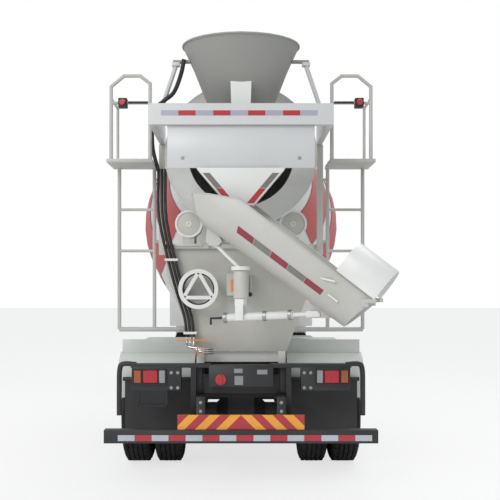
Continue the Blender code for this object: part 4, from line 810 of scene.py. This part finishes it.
coil = [turned([(0.02 + 0.03 * k, r - 0.012), (0.02 + 0.03 * k, r + 0.012), (0.04 + 0.03 * k, r + 0.012),
                (0.04 + 0.03 * k, r - 0.012)], at(-0.40, 0.22, 1.84), Vector((0, 1, 0)), 48)
        for k, r in ((0, 0.150), (1, 0.176), (2, 0.165))]
made("stored_hose_rings", coil, HOSE, "truck", "rubber", edge=0.004)
HOLDER = at(-0.40, 0.22, 1.84)
holder_parts = [turned([(-0.012, 0.188), (0.010, 0.188), (0.010, 0.150), (-0.012, 0.150)], HOLDER, (0, 1, 0), 64)]
corners = [(0.160 * math.sin(t), 0.160 * math.cos(t)) for t in (0, 2 * math.pi / 3, 4 * math.pi / 3)]
for (x0, z0), (x1, z1) in zip(corners, corners[1:] + corners[:1]):
    run = Vector((x1 - x0, 0, z1 - z0)).normalized()
    wide = 0.017 * run.cross(Vector((0, 1, 0)))
    ends = (HOLDER + Vector((x0, 0, z0)), HOLDER + Vector((x1, 0, z1)))
    ring_points = [end + side * wide + Vector((0, depth, 0)) for end in ends
                   for side, depth in ((-1, -0.008), (1, -0.008), (1, 0.008), (-1, 0.008))]
    holder_parts.append((ring_points, [(0, 1, 2, 3), (7, 6, 5, 4), (0, 4, 5, 1), (1, 5, 6, 2), (2, 6, 7, 3),
                                       (3, 7, 4, 0)]))
holder_parts += [tube([HOLDER + Vector((x, 0, z)), at(-0.40 + x, 0.4395, 1.84 + z)], 0.008) for x, z in corners[:2]]
made("hose_holder_wheel", holder_parts, WHITE, "truck", "white_paint", edge=0.002, stands_for=("hose_holder",))


# ---- Control box, chute rim and jack fittings: a steel box with a bare orange label and a lever that
# ends in a black ball, a round bead rolled along the chute's rim with two grab handles, and turned
# collars and a bent crank on the screw jack.
made("control_box", [block((-0.138, 0.100), (0.26, 0.379), (1.775, 1.985))], WARM_GREY, "truck", "grey_paint", edge=0.008)
made("control_box_label", [block((-0.094, -0.060), (0.2585, 0.2605), (1.812, 1.93))], ORANGE, "truck", "board")
made("control_lever", [tube([at(0.085, 0.23, 1.80), at(0.085, 0.22, 1.97)], 0.007)], STEEL, "truck", "steel")
ball = [(-0.022, 0.003), (-0.018, 0.013), (-0.008, 0.021), (0.006, 0.022), (0.016, 0.015), (0.022, 0.003)]
made("control_lever_ball", [turned(ball, at(0.085, 0.23, 1.79), (0, 0, 1), 24)], PLASTIC, "truck", "cab_plastic")


def on_chute(x, y, z):
    """A place counted along, across and above the chute's swing post."""
    return CHUTE_FRAME @ Vector((x, y, z))


RIM_SECTIONS = [(-0.42, 2.655, 0.08), (-0.37, 2.652, 0.19), (-0.22, 2.635, 0.24), (0.06, 2.58, 0.24),
                (1.146, 1.74, 0.225)]
beads = []
for s in (-1, 1):
    beads.append(tube([on_chute(x, s * (half - 0.006), z + 0.004) for x, z, half in RIM_SECTIONS], 0.009))
beads.append(tube([on_chute(-0.42, y, 2.659) for y in (-0.078, 0.078)], 0.009))
made("chute_rim_bead", beads, LADDER_GREY, "chute", "grey_paint")
handles = [tube([on_chute(*spot) for spot in route], 0.008) for route in (
    [(0.74, -0.232, 1.93), (0.86, -0.256, 1.90)], [(0.80, -0.229, 1.80), (0.88, -0.250, 1.74)])]
made("chute_handles", handles, WHITE, "chute", "white_paint")
jack_line = (Vector((0.67, 0, 1.636)) - Vector((0, 0, 1.60))).normalized()
jack_foot = Vector((0, 0, 1.60))
collar = [turned([(a, 0.0345), (a, 0.044), (a + 0.03, 0.044), (a + 0.03, 0.0345)],
                 CHUTE_FRAME @ jack_foot, CHUTE_FRAME.to_3x3() @ jack_line, 32)
          for a in (-0.155, 0.20, 0.42)]
made("jack_collars", collar, STEEL, "jack_barrel", "steel", edge=0.002)
crank_start = jack_foot - 0.155 * jack_line
made("jack_crank", [tube([CHUTE_FRAME @ crank_start, CHUTE_FRAME @ (crank_start - 0.12 * jack_line),
                          on_chute(-0.275, 0, 1.53)], 0.011)], BLACK, "jack_barrel", "black_paint")


# ---- Deck fittings: perforated treads, an emergency button box on each handrail and a rubber strap.
# The tread's holes are pressed upwards, so each shows as a small raised ring.
ring = turned([(0.0, 0.006), (0.0, 0.012), (0.004, 0.010), (0.004, 0.007)], (0, 0, 0), (0, 0, 1), 8)
for side, sign in (("left", -1), ("right", 1)):
    holes = [(at(sign * (0.86 + 0.045 * i), 0.11 + 0.042 * k, 3.0405), (0, 0, 0)) for i in range(9) for k in range(10)]
    repeated("deck_tread_" + side, ring, holes, 1.0, WHITE, "truck")
    made("button_box_" + side, [block((sign * 1.05, sign * 1.13), (0.07, 0.15), (3.515, 3.60))], PLASTIC, "truck",
         "cab_plastic", edge=0.006)
    made("stop_button_" + side, [turned([(0.0, 0.003), (0.0, 0.024), (0.016, 0.028), (0.024, 0.022), (0.024, 0.003)],
                                        at(sign * 1.09, 0.072, 3.557), BACKWARDS, 32)], RED_PAINT, "truck", "board")
    made("rail_strap_" + side, [block((sign * 0.86, sign * 1.04), (0.090, 0.130), (3.552, 3.572))], PLASTIC, "truck",
         "cab_plastic", edge=0.003)


# ---- Hopper fittings: a white stiffening plate down the back and a bead rolled round the rim.
made("hopper_back_plate", [plate([(-0.085, 3.44), (0.085, 3.44), (0.095, 3.76), (-0.095, 3.76)], -0.30, 0.02)],
     WHITE, "truck", "white_paint", edge=0.003)
rim = [Vector((0.512 * math.cos(t), BACK - 0.20 + 0.407 * math.sin(t), 3.972))
       for t in (2 * math.pi * i / 64 for i in range(65))]
# The rim bead shares the hopper's grey with its painted shade.
made("hopper_rim_bead", [tube(rim, 0.008, 10)], HOPPER_SHADE_GREY, "truck", "grey_paint")


# ---- Seats: foam cushions under woven cloth on steel boxes, crowned in the middle and pulled in at
# the corners.
def cloth_weave(name):
    """Seat cloth: warp and weft as two crossed waves, with a little sheen."""
    finish = Finish(name, Sheen_Weight=0.3)
    place = finish.node("ShaderNodeTexCoord", out=3)
    warp = finish.node("ShaderNodeTexWave", {"Vector": place, "Scale": 180.0}, bands_direction="X")
    weft = finish.node("ShaderNodeTexWave", {"Vector": place, "Scale": 180.0}, bands_direction="Z")
    weave = warp * weft
    return finish.surface(finish.blend(weave, (0.035, 0.035, 0.04), (0.11, 0.11, 0.12)), 0.85, weave, 0.001, 0.5)


CLOTH = cloth_weave("seat_cloth")


def cushion(name, low, high, node):
    """A crowned pad in a box: a grid cube whose sides swell and whose corners pull in."""
    work = bmesh.new()
    bmesh.ops.create_cube(work, size=2.0)
    bmesh.ops.subdivide_edges(work, edges=work.edges, cuts=5, use_grid_fill=True)
    middle, half = (low + high) / 2, (high - low) / 2
    for vertex in work.verts:
        p = vertex.co.copy()
        for axis in range(3):
            others = [p[i] for i in range(3) if i != axis]
            full = (1 - 0.16 * others[0] ** 2) * (1 - 0.16 * others[1] ** 2)
            vertex.co[axis] = middle[axis] + half[axis] * p[axis] * full
    mesh = bpy.data.meshes.new(name)
    work.to_mesh(mesh)
    work.free()
    mesh.polygons.foreach_set("use_smooth", [True] * len(mesh.polygons))
    mesh.materials.append(CLOTH)
    item = bpy.data.objects.new(name, mesh)
    bpy.context.collection.objects.link(item)
    soft = item.modifiers.new("soft", "SUBSURF")
    soft.levels = 1
    soft.render_levels = 1
    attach(item, "cab")
    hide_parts(node)


for node, x in (("driver_seat", -0.68), ("passenger_seat", 0.68)):
    cushion(node + "_cushion", at(x - 0.25, 6.42, 1.64), at(x + 0.25, 6.94, 1.80), node)
    cushion(node + "_back", at(x - 0.24, 6.30, 1.70), at(x + 0.24, 6.42, 2.48), node)
    made(node + "_box", [block((x - 0.18, x + 0.18), (6.46, 6.88), (1.361, 1.645))], PLASTIC, "cab", "cab_plastic", edge=0.01)


# ---- Cab front: a black moulded grille with slats, headlamps in black frames, wiper arms and door
# handles. The badge place on the nose is left bare.
NOSE = 7.90
slats = [block((-0.62, 0.62), (NOSE - 0.002, NOSE + 0.022), (1.30 + 0.075 * i, 1.345 + 0.075 * i)) for i in range(6)]
made("grille_slats", slats + [block((-0.66, 0.66), (NOSE - 0.004, NOSE + 0.008), (1.27, 1.76))], PLASTIC, "cab",
     "cab_plastic", edge=0.005)
for side, sign in (("left", -1), ("right", 1)):
    made("head_lamp_" + side, [block((sign * 0.78, sign * 1.10), (7.992, 8.012), (0.60, 0.80))], CLEAR, "truck",
         "glass", edge=0.02)
    made("head_lamp_frame_" + side, [block((sign * 0.76, sign * 1.12), (7.985, 8.003), (0.58, 0.82))], PLASTIC,
         "truck", "cab_plastic", edge=0.015)
    made("door_handle_" + side, [block((sign * 1.218, sign * 1.245), (6.66, 6.82), (1.84, 1.875))], PLASTIC,
         "door_" + side, "cab_plastic", edge=0.008)
    made("wiper_" + side, [tube([(sign * 0.15 - 0.35, BACK + 7.905, 1.93), (sign * 0.15 + 0.25, BACK + 7.87, 2.13)],
                                0.010)], PLASTIC, "cab", "cab_plastic")
